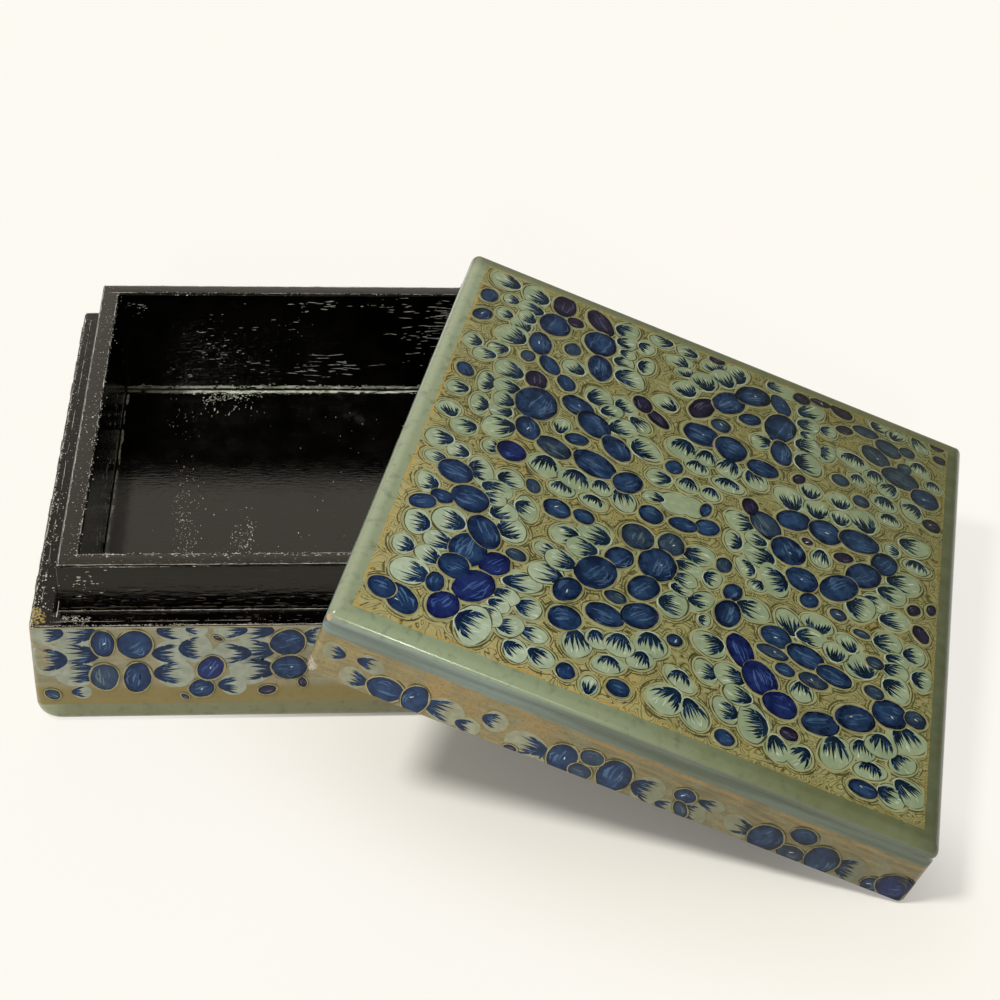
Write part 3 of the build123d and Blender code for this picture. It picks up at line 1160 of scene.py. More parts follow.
# %% Flowers of the right half
FLOWERS_RIGHT = [
    ([(74.2, 125.5, 10.5, 5.8, 65, "plum"), (81.3, 132.3, 11, 8, 55), (87.7, 139.6, 10.5, 7.5, 35)],
     [(81, 146, 10, 7, 50, -40), (75, 146.5, 8, 5, 40, -50), (67.5, 138.5, 6, 4, 30, -60),
      (78.5, 142.5, 7, 7, 30, -50), (68.5, 131, 8, 6, 40, -50), (73.2, 137.5, 8, 7, 20, -60)]),
    ([(96, 140.5, 8.5, 5.2, 120), (97, 130.3, 12, 8.5, 80), (98.5, 119.8, 9.8, 6, 100)],
     [(105, 143.2, 8, 7, 50, 220), (111, 137.5, 5.5, 4.5, 80, 180), (111.5, 127.5, 7.5, 4.5, 80, 180),
      (105, 136.5, 7, 6, 60, 190), (105.8, 127.3, 8, 7, 110, 190), (105, 132, 4, 4, 0, 180),
      (106.3, 120, 9.5, 7, 125, 200)]),
    ([(75.7, 114, 10, 8.5, 0), (84.4, 113, 9, 9.2, 0), (94, 110, 9, 6.5, 5)],
     [(71.5, 105.3, 9, 7.5, 0, 80), (76.3, 100, 7, 5, -10, 90), (85.5, 97.7, 9, 5, 0, 90),
      (78.3, 105.2, 6, 6, 0, 90), (92.6, 104, 7.5, 6.5, -30, 120), (84.8, 104.5, 7, 7.5, 0, 80)]),
    ([(125.5, 134.8, 9, 6.5, -30, "slate"), (133.3, 129.3, 10.5, 7.8, -10, "slate"),
      (141, 124.5, 8, 7.4, 0)],
     [(119, 129, 10, 5.5, -15, 90), (121, 121.5, 6, 4, -40, 90), (129.3, 115.8, 7.5, 5.5, -10, 90),
      (126, 125.3, 6.5, 5.5, -20, 100), (137.3, 117.3, 8.5, 5.5, -60, 60), (130, 122.3, 6, 6, 0, 60)]),
    ([(129, 140.5, 8, 6, -20, "slate"), (121.8, 144, 7.5, 4, 0, "slate"),
      (134.7, 142, 4.5, 4, 0, "slate")],
     [(126, 149.3, 7, 5.5, -50, 200), (138, 147.5, 7, 4.5, -45, 120), (130.8, 147.8, 6, 4, 20, 250)]),
    ([(104.8, 94.2, 10, 7, 35), (113.8, 94.5, 8.8, 8.5, 0), (123.3, 96, 11, 8, 10)],
     [(103, 102.5, 9.5, 7.5, -20, -70), (108.3, 109, 6.5, 6, 0, -90), (117, 109.5, 7, 5.5, 0, -90),
      (110.8, 102.3, 7.5, 6.5, 10, -90), (124, 105, 8.5, 8, 20, -60), (117.5, 102.6, 6, 5.5, 0, -90)]),
    ([(131, 91, 8.5, 7, 60), (125.7, 83.3, 10.5, 8, 50), (119.5, 75, 12, 8, 50)],
     [(137, 86.5, 9, 7.5, 20, 190), (135.2, 71, 8, 6, 40, 200), (129.8, 75, 6.5, 5.5, -40, 170),
      (134, 80.5, 7.5, 7, 0, 180), (125.8, 70.5, 10, 7, 65, 170)]),
    ([(97.5, 88, 10, 7.5, -50, "slate"), (104.5, 81.5, 10, 9, -60), (109.3, 72.8, 8.5, 8.3, 0)],
     [(90.8, 85.5, 8.5, 7, -20, 20), (89.8, 77, 8, 4.5, 100, 0), (94.3, 69, 7.5, 4.5, -55, 30),
      (97, 75.5, 9, 7.5, -50, 0), (102, 68.5, 11, 7, -65, 30), (95.5, 80.8, 6, 5, -20, 0)]),
    ([(74.2, 66.5, 8, 6.8, 80, "slate"), (71.8, 57.3, 11.5, 9.5, 80), (69.8, 47.2, 9.5, 7, 60)],
     [(81.8, 66.3, 9, 6.5, 40, 190), (86.3, 60, 7, 4.5, 80, 180), (84.5, 50.5, 8.5, 5, 60, 200),
      (79.8, 60.3, 7, 6, 0, 170), (78, 45.5, 9, 7, 75, 190), (79.2, 52.2, 5.5, 5, 0, 190),
      (79.3, 55.8, 6.5, 5.5, 0, 180)]),
    ([(92, 58, 6.5, 4.5, 70), (91.7, 50, 9.5, 6.5, 80)],
     [(98, 54.8, 8, 7.5, 0, 180)]),
    ([(104.8, 48.5, 8, 7, 0), (113, 45.6, 9.5, 7, -10), (120.8, 42.8, 9, 6, -5)],
     [(107.5, 55.5, 8.5, 6.5, 120, -70), (115, 58.7, 8.5, 6, 0, -90), (123.5, 56.3, 6.5, 5, -20, -60),
      (113.8, 53.3, 7.5, 6.5, 0, 200), (127.5, 50, 9.5, 7, 50, -60), (120.5, 51.3, 6.5, 6, 0, -90)]),
    ([(96.5, 39, 10.5, 6.5, -65, "royal"), (102.3, 32.3, 10.5, 8.5, -60, "royal"),
      (108.3, 26.2, 8.5, 8, 0, "royal")],
     [(88.5, 37, 8.5, 7, -30, 30), (89, 27.7, 7.5, 5, -60, 0), (95.3, 17.7, 8, 5.5, -55, 0),
      (95, 29.3, 8, 7, -30, 10), (102.3, 17, 12, 7, -80, 20), (97.5, 24, 7, 6, -20, 0)]),
    ([(118.7, 25.3, 9.5, 7, 25), (127.3, 31.3, 10.5, 8, 30), (136, 37.3, 9, 9, 0)],
     [(123.5, 18, 10.5, 7.5, 70, 100), (132.5, 16.5, 8.5, 5, 20, 90), (130, 22, 6.5, 6, -20, 100),
      (141, 30.8, 9.5, 8, 20, 120), (140.3, 22.5, 7.5, 5.5, 40, 150), (134.5, 25.7, 8, 7, 20, 90)]),
    ([],
     [(134, 62, 7.5, 7, 60, 200), (141.3, 61, 7, 5.5, 80, 200), (137, 56.8, 6, 5.5, 0, 180),
      (143.7, 53.3, 7.5, 5, 90, 180), (136.8, 52.8, 6.5, 6, 0, 180), (137.3, 46.7, 8.5, 6.5, 100, 160)]),
]
print("flowers on the right:", len(FLOWERS_RIGHT))

# %% Buds between the flowers
LOOSE_PETALS = [
    (8.6, 137.5, 5.8, 4.8, 80), (8.6, 128.2, 6.2, 4.3, 50), (33.8, 140.6, 4.6, 4.2, 0, "plum"),
    (35.3, 128.3, 5.5, 4.4, 80, "slate"), (30.6, 117.6, 7.5, 5, -50), (36.4, 113, 6.2, 4.8, -60),
    (24.2, 118, 4.6, 3.8, 80, "slate"), (9.6, 102.2, 5.6, 4.4, 120), (28.3, 77.4, 7.5, 7.2, 0, "royal"),
    (58, 117, 6.5, 5, -60, "plum"), (63, 113.2, 7.8, 4.2, -35, "plum"), (43.5, 92, 6.5, 4.3, 20),
    (70.3, 96.3, 5.5, 4.5, 60), (67.3, 74.5, 6.5, 6.3, 0), (76, 75.5, 7.5, 4.8, 15),
    (82.3, 78, 7, 5.5, 40), (81, 84.5, 5.5, 2.8, 78), (65.2, 64.3, 8.8, 8.4, 80, "slate"),
    (43.6, 63, 7, 6.4, 0), (50.7, 64, 5.5, 5, 0), (36.2, 67.8, 5, 3.6, 110, "slate"),
    (15.5, 51.3, 5.5, 4.6, 0), (11.5, 47, 7, 4.8, 35), (21, 22, 6.4, 4.3, 90), (9.7, 14, 6.6, 6.4, 0),
    (14.9, 12.6, 9.4, 7, -50), (56.3, 10.3, 5, 4.5, 90), (69.2, 11.3, 5.5, 5, 0),
    (88.2, 128.8, 6.5, 4.5, 30), (80.4, 121.2, 5.6, 5.4, 0, "slate"),
    (92.6, 92.8, 6.2, 4.3, 100, "plum"), (119.7, 87.3, 5.5, 3.5, 25, "plum"),
    (140.2, 77.8, 4.5, 3.2, 60, "plum"), (142.6, 69.8, 6, 4, -60, "plum"),
    (143.5, 114.4, 5, 4.5, 0, "plum"), (116.2, 118.4, 5, 4.4, 0, "slate"),
    (134.3, 134.5, 4, 4, 0, "slate"), (122.7, 112.9, 4.6, 4.4, 0, "slate"), (112, 66, 5.5, 4.5, 60),
    (120, 65, 4.3, 4, 0, "slate"), (126.8, 61.5, 4.5, 2.6, 0, "slate"),
    (88.5, 66.5, 5.5, 4, 80, "slate"), (131, 53, 4.6, 4, 0, "slate"), (131.5, 42.7, 5, 4.2, 0, "slate"),
    (142.7, 38.8, 5.4, 5.4, 0, "slate"), (108.3, 38.4, 5, 4, 0), (115.8, 38.4, 7.4, 4.6, 0, "slate"),
    (104.6, 42.7, 8, 3.8, -5, "slate"), (80, 33.6, 4, 3.8, 45), (63.5, 40.3, 5.5, 4, 0, "slate"),
    (37.3, 41.3, 5, 3.8, 0, "slate"), (111.5, 18, 4.5, 4, 0, "plum"), (131, 10, 7, 5, 0),
    (96.2, 9, 4.8, 4.6, 0), (115.5, 141, 5, 3.4, 20, "plum"), (101.8, 147.4, 5, 4.4, 0, "plum"),
    (107.5, 149, 6, 2.8, 0, "plum"), (114, 148.6, 6.5, 4.5, -20, "plum"), (143.5, 150, 4, 3, 0, "plum"),
    (144.5, 144.5, 4, 3.2, 0, "plum"), (145, 80.5, 4, 2.4, 80, "plum"),
    (104.5, 111.8, 4.4, 3, 60, "plum"), (109.3, 88, 3, 2.4, 0, "plum"),
    (75.5, 149.5, 4.6, 3.4, 0, "plum"),
]
LOOSE_LOBES = [
    (11.5, 147.3, 8, 7.4, 0, -10), (8.6, 115.6, 6, 5, 90, 0), (15.8, 116.3, 6.2, 5, 60, 30),
    (12.8, 111.8, 6.5, 5, 40, 20), (9.4, 94, 6, 5, 50, 20), (9.5, 84.5, 6, 5.4, 0, -60),
    (14.6, 80, 6.5, 6, 60, 30), (23, 76.4, 5.5, 4.5, 90, 0), (37, 121, 6.5, 6, 30, -20),
    (64.2, 121.5, 6.4, 6, 0, -30), (38.5, 95, 6, 4.5, 80, -90), (67, 90, 6.5, 6, 0, 20),
    (75, 91.5, 6, 5.5, 20, 90), (81.4, 91.5, 5.5, 5, 0, 90), (66.8, 82, 6.4, 4, 30, 0),
    (72.6, 82.5, 8, 7.4, 0, None), (77.6, 83.5, 7.5, 6.4, 90, None), (9.7, 72, 7, 6.5, 30, 20),
    (15.3, 70, 6, 5.4, 60, 0), (10.6, 64.8, 5.5, 4.5, 20, 0), (11, 54.5, 7, 5, -65, 0),
    (46.8, 17.8, 6.5, 5, 10, 180), (43.8, 10.6, 7, 5.4, 100, 150), (50, 11.5, 6.5, 6, 0, 160),
    (62.5, 8.9, 5.5, 4, 90, -90), (58.7, 147.8, 7, 5, 0, 20), (66.5, 147.8, 6, 5, 0, 0),
    (65, 142.4, 8, 4.4, 15, -30), (92.3, 121.5, 6.5, 5.5, 70, 30), (94, 148.5, 6, 5, 60, 200),
    (98, 147.5, 6, 5.6, 60, None), (138.5, 137, 7, 4.5, -35, 90), (143, 131.4, 5, 4.4, 0, 90),
    (131.3, 110, 6.5, 4.5, 0, 100), (139, 103, 8, 7, 20, 180), (140, 95, 7.5, 5, 0, 90),
    (132.8, 98, 4.6, 4, 90, 0), (113.5, 83.5, 6.5, 5.4, 90, 90), (113.2, 33.3, 6.5, 6, 90, 90),
    (83, 21.7, 8.5, 5, -35, 90), (80.8, 13.7, 9, 8.4, 40, 60), (88.2, 12.5, 9, 6.4, -60, 120),
    (109.3, 12.2, 7.4, 6, 100, 110), (114.6, 12.2, 7.4, 6, 80, 60), (138.3, 11.3, 7, 6.4, -60, 170),
    (142.5, 14.2, 8, 7, -40, 140), (86.3, 44.5, 4.5, 3, 90, 180), (98, 64, 5, 4, 20, 60),
]
top_sheet = Sheet("lid_top")
loose(top_sheet, LOOSE_PETALS, LOOSE_LOBES, 0)
for petals, lobes in FLOWERS_LEFT + FLOWERS_RIGHT:
    bloom(top_sheet, petals, lobes)
print("touches on the lid's top:", top_sheet.amount())

# %% [markdown]
# ### The sides
#
# The sides carry the same flowers, larger and without the ringed lines. The front of the base
# and of the lid are written touch by touch. The other six sides, and the part of the base's front
# behind the lid, repeat their rhythm, lobes, petals, lobes and a bud, with sizes and places drawn
# from a seeded generator.

# %% Front of the base
base_front = Sheet("base_front", ringed=False)
BASE_LOBES = [
    (4, 20.3, 9.5, 8.5, 90, 0), (4.5, 28.8, 7, 7, 90, 0), (10.8, 16, 10, 8.5, 0, 0),
    (10.8, 28.7, 10, 8, 0, 0), (10.4, 21.8, 12, 8.5, 20, 0), (35.8, 29.2, 7.5, 7, 0, 180),
    (35.4, 15.6, 9, 9, 70, 180), (35, 21.9, 8, 8.5, 90, 180), (41.5, 29.6, 5, 4, 0, 180),
    (41, 23.5, 9, 7.5, 90, 180), (49.8, 11.6, 6.5, 6.5, 0, 180), (49.4, 29.3, 7.5, 6, 0, 0),
    (49.6, 21.8, 8.5, 7.5, 0, 0), (55, 29, 9, 7, 0, 0), (54.6, 16.6, 11, 9, 20, 0),
    (54.8, 22.8, 10.5, 8, 25, 0), (12, 9.8, 4.5, 4, 0, 180), (71.5, 27, 7, 7, 0, 180),
    (74, 19, 8, 7, 60, 180),
]
BASE_PETALS = [
    (18, 25.3, 7.8, 5.4, 90), (25.9, 25, 8.4, 8.2, 40), (17.8, 14.7, 8, 6.6, 90, "slate"),
    (26, 14.4, 9.2, 6.4, 80), (44.4, 17.2, 7.6, 6, 60, "royal"), (41.8, 10.6, 6.2, 5.4, 20),
    (63.7, 25.2, 8.4, 7.8, 20), (64, 17.2, 8.4, 7.2, 0), (4.6, 9.2, 3.8, 2.8, -30, "slate"),
    (46.4, 26.8, 2.4, 1.1, -30, "plum"), (58.4, 9.8, 4.4, 2.8, 10, "plum"),
    (67.3, 12.2, 3, 2, 100, "plum"), (37.6, 8, 2.2, 1.2, -40, "plum"),
]
loose(base_front, BASE_PETALS, BASE_LOBES, 1)
print("touches on the front of the base:", base_front.amount())

# %% Front of the lid
lid_front = Sheet("lid_front", ringed=False)
LID_LOBES = [
    (5, 9.4, 5.5, 5, 90, 0), (14.2, 9.8, 6.2, 4.8, -20, 180), (11.2, 3.6, 6.5, 6, -60, 0),
    (34, 4.4, 9, 8, 0, 180), (40.4, 2.4, 5.5, 5.5, 90, 180), (45.7, 7.3, 6.5, 5.5, 90, 180),
    (54.3, 4, 9.5, 8, 0, 0), (84.9, 4.4, 9.5, 7, 80, 180), (90.4, 1.6, 4.5, 4.5, 0, 180),
    (97, 3, 7.5, 5, -60, 180), (99.8, 7.4, 6, 4, 20, 180), (107.8, 4.4, 8, 6, -40, 0),
    (136.2, 4.3, 9.5, 6.5, 90, 180), (60, 1.5, 4, 4, 0, 90),
]
LID_PETALS = [
    (19.2, 4, 8.4, 7.4, 10), (26.5, 4.4, 9.2, 5.8, 85), (63.4, 4.2, 9.2, 6.8, 85),
    (69.6, 7.9, 5.4, 4.8, 0, "slate"), (68.6, 2.2, 5.2, 4.8, 0, "slate"), (76.2, 5, 10.2, 7.6, 85),
    (93.2, 7.4, 5, 4.4, 0), (93.8, 2.6, 5.5, 3, -60, "slate"), (114.8, 4.1, 9, 7.6, 70),
    (122.4, 9.3, 6, 5.2, 0), (121.8, 2.3, 6.6, 5, 0, "slate"), (129.1, 4, 9.2, 7.4, 80),
    (142.3, 2.4, 5, 4.2, 60), (147.6, 4.4, 8.6, 8, 30, "royal"), (51.5, 0.9, 3, 2, 0, "plum"),
]
loose(lid_front, LID_PETALS, LID_LOBES, 1)
print("touches on the front of the lid:", lid_front.amount())

# %% Sides drawn by a seeded hand
BLUES = ["blue", "blue", "slate", "royal"]


def side_row(sheet, hand, length, low, high):
    """Flowers along one side: lobes, petals, lobes and a bud, again and again."""
    u = hand.uniform(10, 15)
    while u < length - 4:
        for kind, offset in (("towards petals", -9.5), ("petals", 0.0), ("from petals", 9.5), ("bud", 16.5)):
            v = low + hand.uniform(0.5, 3.5)
            while v < high and 7 < u + offset < length - 7:
                size = hand.uniform(7, 9.5) if kind != "bud" else hand.uniform(4, 5.5)
                spot = (u + offset + hand.uniform(-1.2, 1.2), v, size, size * hand.uniform(0.75, 0.95))
                if kind == "petals":
                    petal(sheet, hand.random() * 0.6, *spot, hand.uniform(40, 130), hand.choice(BLUES))
                elif kind != "bud":
                    dark_side = 0 if kind == "towards petals" else 180
                    lobe(sheet, hand.uniform(0, 4), *spot, hand.uniform(0, 90), dark_side)
                elif hand.random() < 0.6:
                    petal(sheet, 0, *spot, hand.uniform(0, 90), hand.choice(["plum", "slate", "blue"]))
                v += size * hand.uniform(0.85, 1.0) if kind != "bud" else size * 1.6
        u += hand.uniform(29, 33)


def side_sheets(box_name, sides, front, low, high, window_low, window_high, cut, seed):
    """Sheets for the four sides of a box, with the windows they are trimmed to."""
    found = []
    for number, (side, place) in enumerate(sides.items()):
        length = depth if side in ("right", "left") else width
        sheet = front if side == "front" else Sheet(f"{box_name}_{side}", ringed=False)
        hand = random.Random(seed + number)
        if side != "front":
            side_row(sheet, hand, length, low, high)
        found.append((sheet, place, (cut, window_low, length - cut, window_high)))
    return found


hidden_front = Sheet("hidden_front", ringed=False)
side_row(hidden_front, random.Random(5), 70, 12, 31)
for key, rows in hidden_front.touches.items():
    base_front.touches.setdefault(key, []).extend((row[0] + 80,) + row[1:] for row in rows)
base_sheets = side_sheets("base", base_sides, base_front, 10, 31, 6.1, ledge_height - 0.5, 0.7, 30)
lid_sheets = side_sheets("lid", lid_sides, lid_front, 1, 11, 0.5, 14.0, 0.9, 40)
print("sheets:", [sheet.name for sheet, place, window in base_sheets + lid_sheets])

# %% [markdown]
# ### Colours of the paint
#
# Each colour has its own material with a little noise, because hand mixed paint is never even.
# A number kept on every touch, its tone, moves the whole touch lighter or darker.

# %% Paint materials
LEANING = (125, 25)  # from where to where the paint leans to its front left shade, right and back together
# where the paint greys, towards the back right: partly dulled paint, partly a painted sheen of reflected
# light
GREYING_AND_SHEEN = (170, 310)  # the same for where it greys
GREY_OLIVE = (74, 78, 60)


def paint_of(name, place, dark, light, near, gloss=0.5, fade_and_light_span=GREYING_AND_SHEEN, far=GREY_OLIVE):
    """Paint between two colours, by touch and cloud, nearer to a third at the front left, and greyer far off;
    on the lid's sides, darker. That change is partly dulled paint, partly painted sheen on the top and
    painted shade on the sides.
    """
    material, tree, shader = material_of(name)
    here = own_place(tree, place)
    tone = add_node(tree, "ShaderNodeAttribute", {}, attribute_name="tone").outputs["Fac"]
    clouds = spots(tree, here, 0.45, 4.0, 0.38, 0.66)
    share = plus(tree, times(tree, tone, 0.5), times(tree, clouds, 0.5))
    colour = blend(tree, share, dark, light)
    split = add_node(tree, "ShaderNodeSeparateXYZ", {0: here}).outputs
    way = plus(tree, split["X"], split["Y"])
    bright = times(tree, between(tree, way, *LEANING), 0.65)
    shadow_side = tuple(max(0, value - 14) for value in near)
    light_side = tuple(min(250, value + 20) for value in near)
    colour = blend(tree, bright, colour, blend(tree, share, shadow_side, light_side))
    # the change far off: greying at the back right of the top, darkening to the right on the lid's sides;
    # partly dulled paint, partly painted sheen and painted shade
    fade_and_painted_light = times(tree, between(tree, way, *fade_and_light_span), 0.4)
    colour = blend(tree, fade_and_painted_light, colour, far)
    feed(tree, shader.inputs["Base Color"], colour)
    varnish(tree, shader, here, gloss)
    return material


# lobes on the sides hardly differ from the ground
DULL_SAGE = {
    "lid": ((126, 128, 104), (144, 146, 122), (152, 154, 130)),
    "base": ((138, 144, 126), (156, 162, 144), (154, 162, 148)),
}

# each paint: its dark shade, its light shade, and the shade it leans to at the front left
SHADES = {
    "line": ((66, 68, 38), (88, 86, 52), (90, 86, 50)),
    "ribbon": ((146, 150, 108), (164, 166, 122), (166, 168, 126)),
    "ring": ((118, 114, 78), (152, 144, 104), (160, 152, 110)),
    "ink": ((8, 12, 20), (22, 26, 34), (12, 18, 40)),
    "sage": ((134, 150, 118), (156, 170, 136), (190, 206, 180)),
    "pale": ((170, 186, 162), (200, 212, 190), (206, 220, 204)),
    "navy": ((6, 20, 32), (24, 44, 62), (12, 40, 80)),
    "blue": ((6, 16, 38), (44, 70, 104), (16, 46, 90)),
    "light_blue": ((34, 58, 88), (86, 112, 140), (68, 104, 146)),
    "royal": ((8, 14, 52), (34, 50, 104), (18, 36, 94)),
    "light_royal": ((36, 54, 108), (76, 102, 150), (60, 90, 152)),
    "slate": ((20, 34, 50), (56, 74, 94), (44, 66, 96)),
    "light_slate": ((60, 78, 84), (100, 114, 112), (96, 116, 122)),
    "plum": ((16, 12, 28), (46, 42, 62), (36, 34, 64)),
    "light_plum": ((56, 54, 78), (88, 86, 104), (86, 84, 116)),
    "white": ((190, 196, 190), (228, 230, 220), (228, 232, 224)),
}


def paints_for(box_name, place, ground, gloss, fade_and_light_span=GREYING_AND_SHEEN, far=GREY_OLIVE):
    """All the paints of one box, or of its sides, in that box's own directions."""
    shades = {**SHADES, "dull_sage": DULL_SAGE["base" if box_name == "base" else "lid"]}
    found = {}
    for name, three in shades.items():
        found[name] = paint_of(f"{box_name}_{name}_paint", place, *three, gloss, fade_and_light_span, far)
    found["ground"] = ground
    return found


lid_paints = paints_for("lid", lid_place, painted_lid, 0.5)
# on the lid's sides the paints darken to the right, towards a dark grey: partly the paint, partly painted
# shade
lid_side_paints = paints_for("lid_side", lid_place, painted_lid, 0.25, (50, 160), (36, 38, 44))
base_paints = paints_for("base", base_place, painted_base, 0.25)
print(len(lid_paints), "paints each for the lid's top, its sides and the base")

# %% [markdown]
# ### From the list to painted meshes
#
# The touches of one colour become the points of a small mesh, with their values as attributes,
# and the tree turns them into plates. A plain mesh is made from the result at once. Where a
# touch runs past the edge of its panel, a cut plane trims it, and the cut is closed again.

# %% Points and plates
LAYER = 0.006  # millimetres between one coat of paint and the next
ROOT = 0.02  # how deep a touch is set in, so that no light gets under it


def touch_points(name, sheet_place, rows):
    """A mesh with one point for each touch, its values stored as attributes."""
    mesh = bpy.data.meshes.new(name)
    turn = sheet_place.to_3x3()
    mesh.from_pydata([sheet_place @ Vector((row[0], row[1], -ROOT)) for row in rows], [], [])
    values = {key: [] for key in VECTORS + NUMBERS}
    for u, v, long, wide, angle, bend, taper, coat, tone in rows:
        ahead = heading_of(angle).to_3d()
        values["along"].append(turn @ (ahead * long))
        values["across"].append(turn @ (Vector((-ahead.y, ahead.x, 0)) * wide))
        values["raised"].append(turn @ Vector((0, 0, ROOT + LAYER * (coat + 0.3 * tone))))
        values["bend"].append(bend / wide)
        values["taper"].append(taper)
        values["tone"].append(tone)
    for key in VECTORS:
        layer = mesh.attributes.new(key, "FLOAT_VECTOR", "POINT")
        layer.data.foreach_set("vector", [x for vector in values[key] for x in vector])
    for key in NUMBERS:
        mesh.attributes.new(key, "FLOAT", "POINT").data.foreach_set("value", values[key])
    return mesh


def brushed(name, sheet_place, rows, corners, paint_material):
    """Run the brush tree on some touches and return the finished plain mesh."""
    carrier = in_scene(name, touch_points(name, sheet_place, rows))
    modifier = carrier.modifiers.new("brush", "NODES")
    modifier.node_group = brush
    modifier[brush_inputs["Corners"]] = corners
    modifier[brush_inputs["Unsteady hand"]] = 0.3 if corners > 10 else 0.0
    modifier[brush_inputs["Paint"]] = paint_material
    graph = bpy.context.evaluated_depsgraph_get()
    mesh = bpy.data.meshes.new_from_object(carrier.evaluated_get(graph), depsgraph=graph)
    bpy.data.objects.remove(carrier)
    return mesh


print("a coat is", LAYER, "mm thick")

# %% Trim and wrap
def trimmed(work, sheet_place, window):
    """Cut off what lies outside a window (left, bottom, right, top) on the panel, and close the cuts."""
    left, bottom, right, top = window
    sides = [(left, bottom, (-1, 0, 0)), (left, bottom, (0, -1, 0))]
    sides += [(right, top, (1, 0, 0)), (right, top, (0, 1, 0))]
    turn = sheet_place.to_3x3()
    for u, v, outwards in sides:
        plane = sheet_place @ Vector((u, v, 0))
        normal = (turn @ Vector(outwards)).normalized()
        parts = work.verts[:] + work.edges[:] + work.faces[:]
        cut = bmesh.ops.bisect_plane(work, geom=parts, dist=1e-7, plane_co=plane, plane_no=normal,
                                     clear_outer=True)
        edges = [item for item in cut["geom_cut"] if isinstance(item, bmesh.types.BMEdge) and item.is_valid]
        bmesh.ops.holes_fill(work, edges=edges, sides=0)


def wrapped(work, sheet_place, length, radius):
    """Bend what lies past the flat of a side round the box's upright corners."""
    flat = sheet_place.inverted()
    for vertex in work.verts:
        u, v, high = flat @ vertex.co
        for over, sign, centre in ((radius - u, -1, radius), (u - (length - radius), 1, length - radius)):
            if over > 0:
                turn = math.asin(min(over / radius, 1))
                across = centre + sign * (radius + high) * math.sin(turn)
                vertex.co = sheet_place @ Vector((across, v, (radius + high) * math.cos(turn) - radius))


print("trimming and wrapping ready")

# %% One mesh for each colour
def paint_sheets(sheets, box_paints, radius=0.0):
    """The painted layer of one box: a mesh for each colour, from (sheet, place, window) triples."""
    colours = {}
    for sheet, sheet_place, window in sheets:
        for (colour, corners), rows in sheet.touches.items():
            mesh = brushed(sheet.name, sheet_place, rows, corners, box_paints[colour])
            work = bmesh.new()
            work.from_mesh(mesh)
            bpy.data.meshes.remove(mesh)
            trimmed(work, sheet_place, window)
            if radius:
                wrapped(work, sheet_place, window[0] + window[2], radius)
            part = bpy.data.meshes.new(colour)
            work.to_mesh(part)
            work.free()
            colours.setdefault(colour, []).append(part)
    return colours


def joined(name, parts, paint_material):
    """One object from several meshes of one colour, keeping the tone of each touch."""
    work = bmesh.new()
    for part in parts:
        work.from_mesh(part)
        bpy.data.meshes.remove(part)
    mesh = bpy.data.meshes.new(name)
    work.to_mesh(mesh)
    work.free()
    for key in VECTORS + ("bend", "taper"):
        if key in mesh.attributes:
            mesh.attributes.remove(mesh.attributes[key])
    mesh.materials.clear()
    mesh.materials.append(paint_material)
    return in_scene(name, mesh)


print("ready to paint the panels")

# %% Paint the lid and the base
BAND_EDGE = BAND + 0.6  # the flowers end just inside the gold line
top_window = (BAND_EDGE, BAND_EDGE, width - BAND_EDGE, depth - BAND_EDGE)
lid_colours = paint_sheets([(top_sheet, lid_top, top_window)], lid_paints)
lid_side_colours = paint_sheets(lid_sheets, lid_side_paints, LID_CORNER - paint)
base_colours = paint_sheets(base_sheets, base_paints, BASE_CORNER - paint)


def joined_all(naming, colours, box_paints):
    """One object for each colour of a box, named after both."""
    return [joined(naming.format(colour), parts, box_paints[colour])
            for colour, parts in sorted(colours.items())]


lid_pieces = joined_all("lid_{}", lid_colours, lid_paints)
lid_pieces += joined_all("lid_side_{}", lid_side_colours, lid_side_paints)
base_pieces = joined_all("base_{}", base_colours, base_paints)
for piece in lid_pieces + base_pieces:
    print(piece.name, len(piece.data.polygons), "faces")

# %% [markdown]
# ### Wear of the black lacquer
#
# Where the lid rubs and where the coats meet, the black lacquer has broken into pale crumbs
# and lines, and things that lay in the box have left short bright scratches. The bright glint
# lines along the inner corners of floor and walls are partly such wear and partly a painted
# highlight of light caught in those corners. They are touches as well, scattered along lines and
# in groups by a seeded generator, so that they stay sharp and lie where such wear comes from,
# which a texture over the whole box would not.

# %% Crumbs, lines and scratches
wear_hand = random.Random(71)


def angle_of(way):
    """The angle of a direction on a panel, in degrees."""
    return math.degrees(math.atan2(way.y, way.x))


def crumbs(sheet, start, end, count, spread, size, colour="crumb"):
    """Small crumbs along a line, most of them close to it."""
    start, end = Vector(start), Vector(end)
    aside = (end - start).orthogonal().normalized()
    heading = angle_of(end - start)
    for _ in range(count):
        spot = start.lerp(end, wear_hand.random()) + aside * wear_hand.gauss(0, spread)
        long = size * wear_hand.uniform(0.25, 1.0)
        sheet.touch(colour, spot.x, spot.y, long, long * wear_hand.uniform(0.3, 0.8),
                    heading + wear_hand.uniform(-40, 40), wear_hand.uniform(3, 9), corners=6,
                    tone=wear_hand.random() ** 1.5)


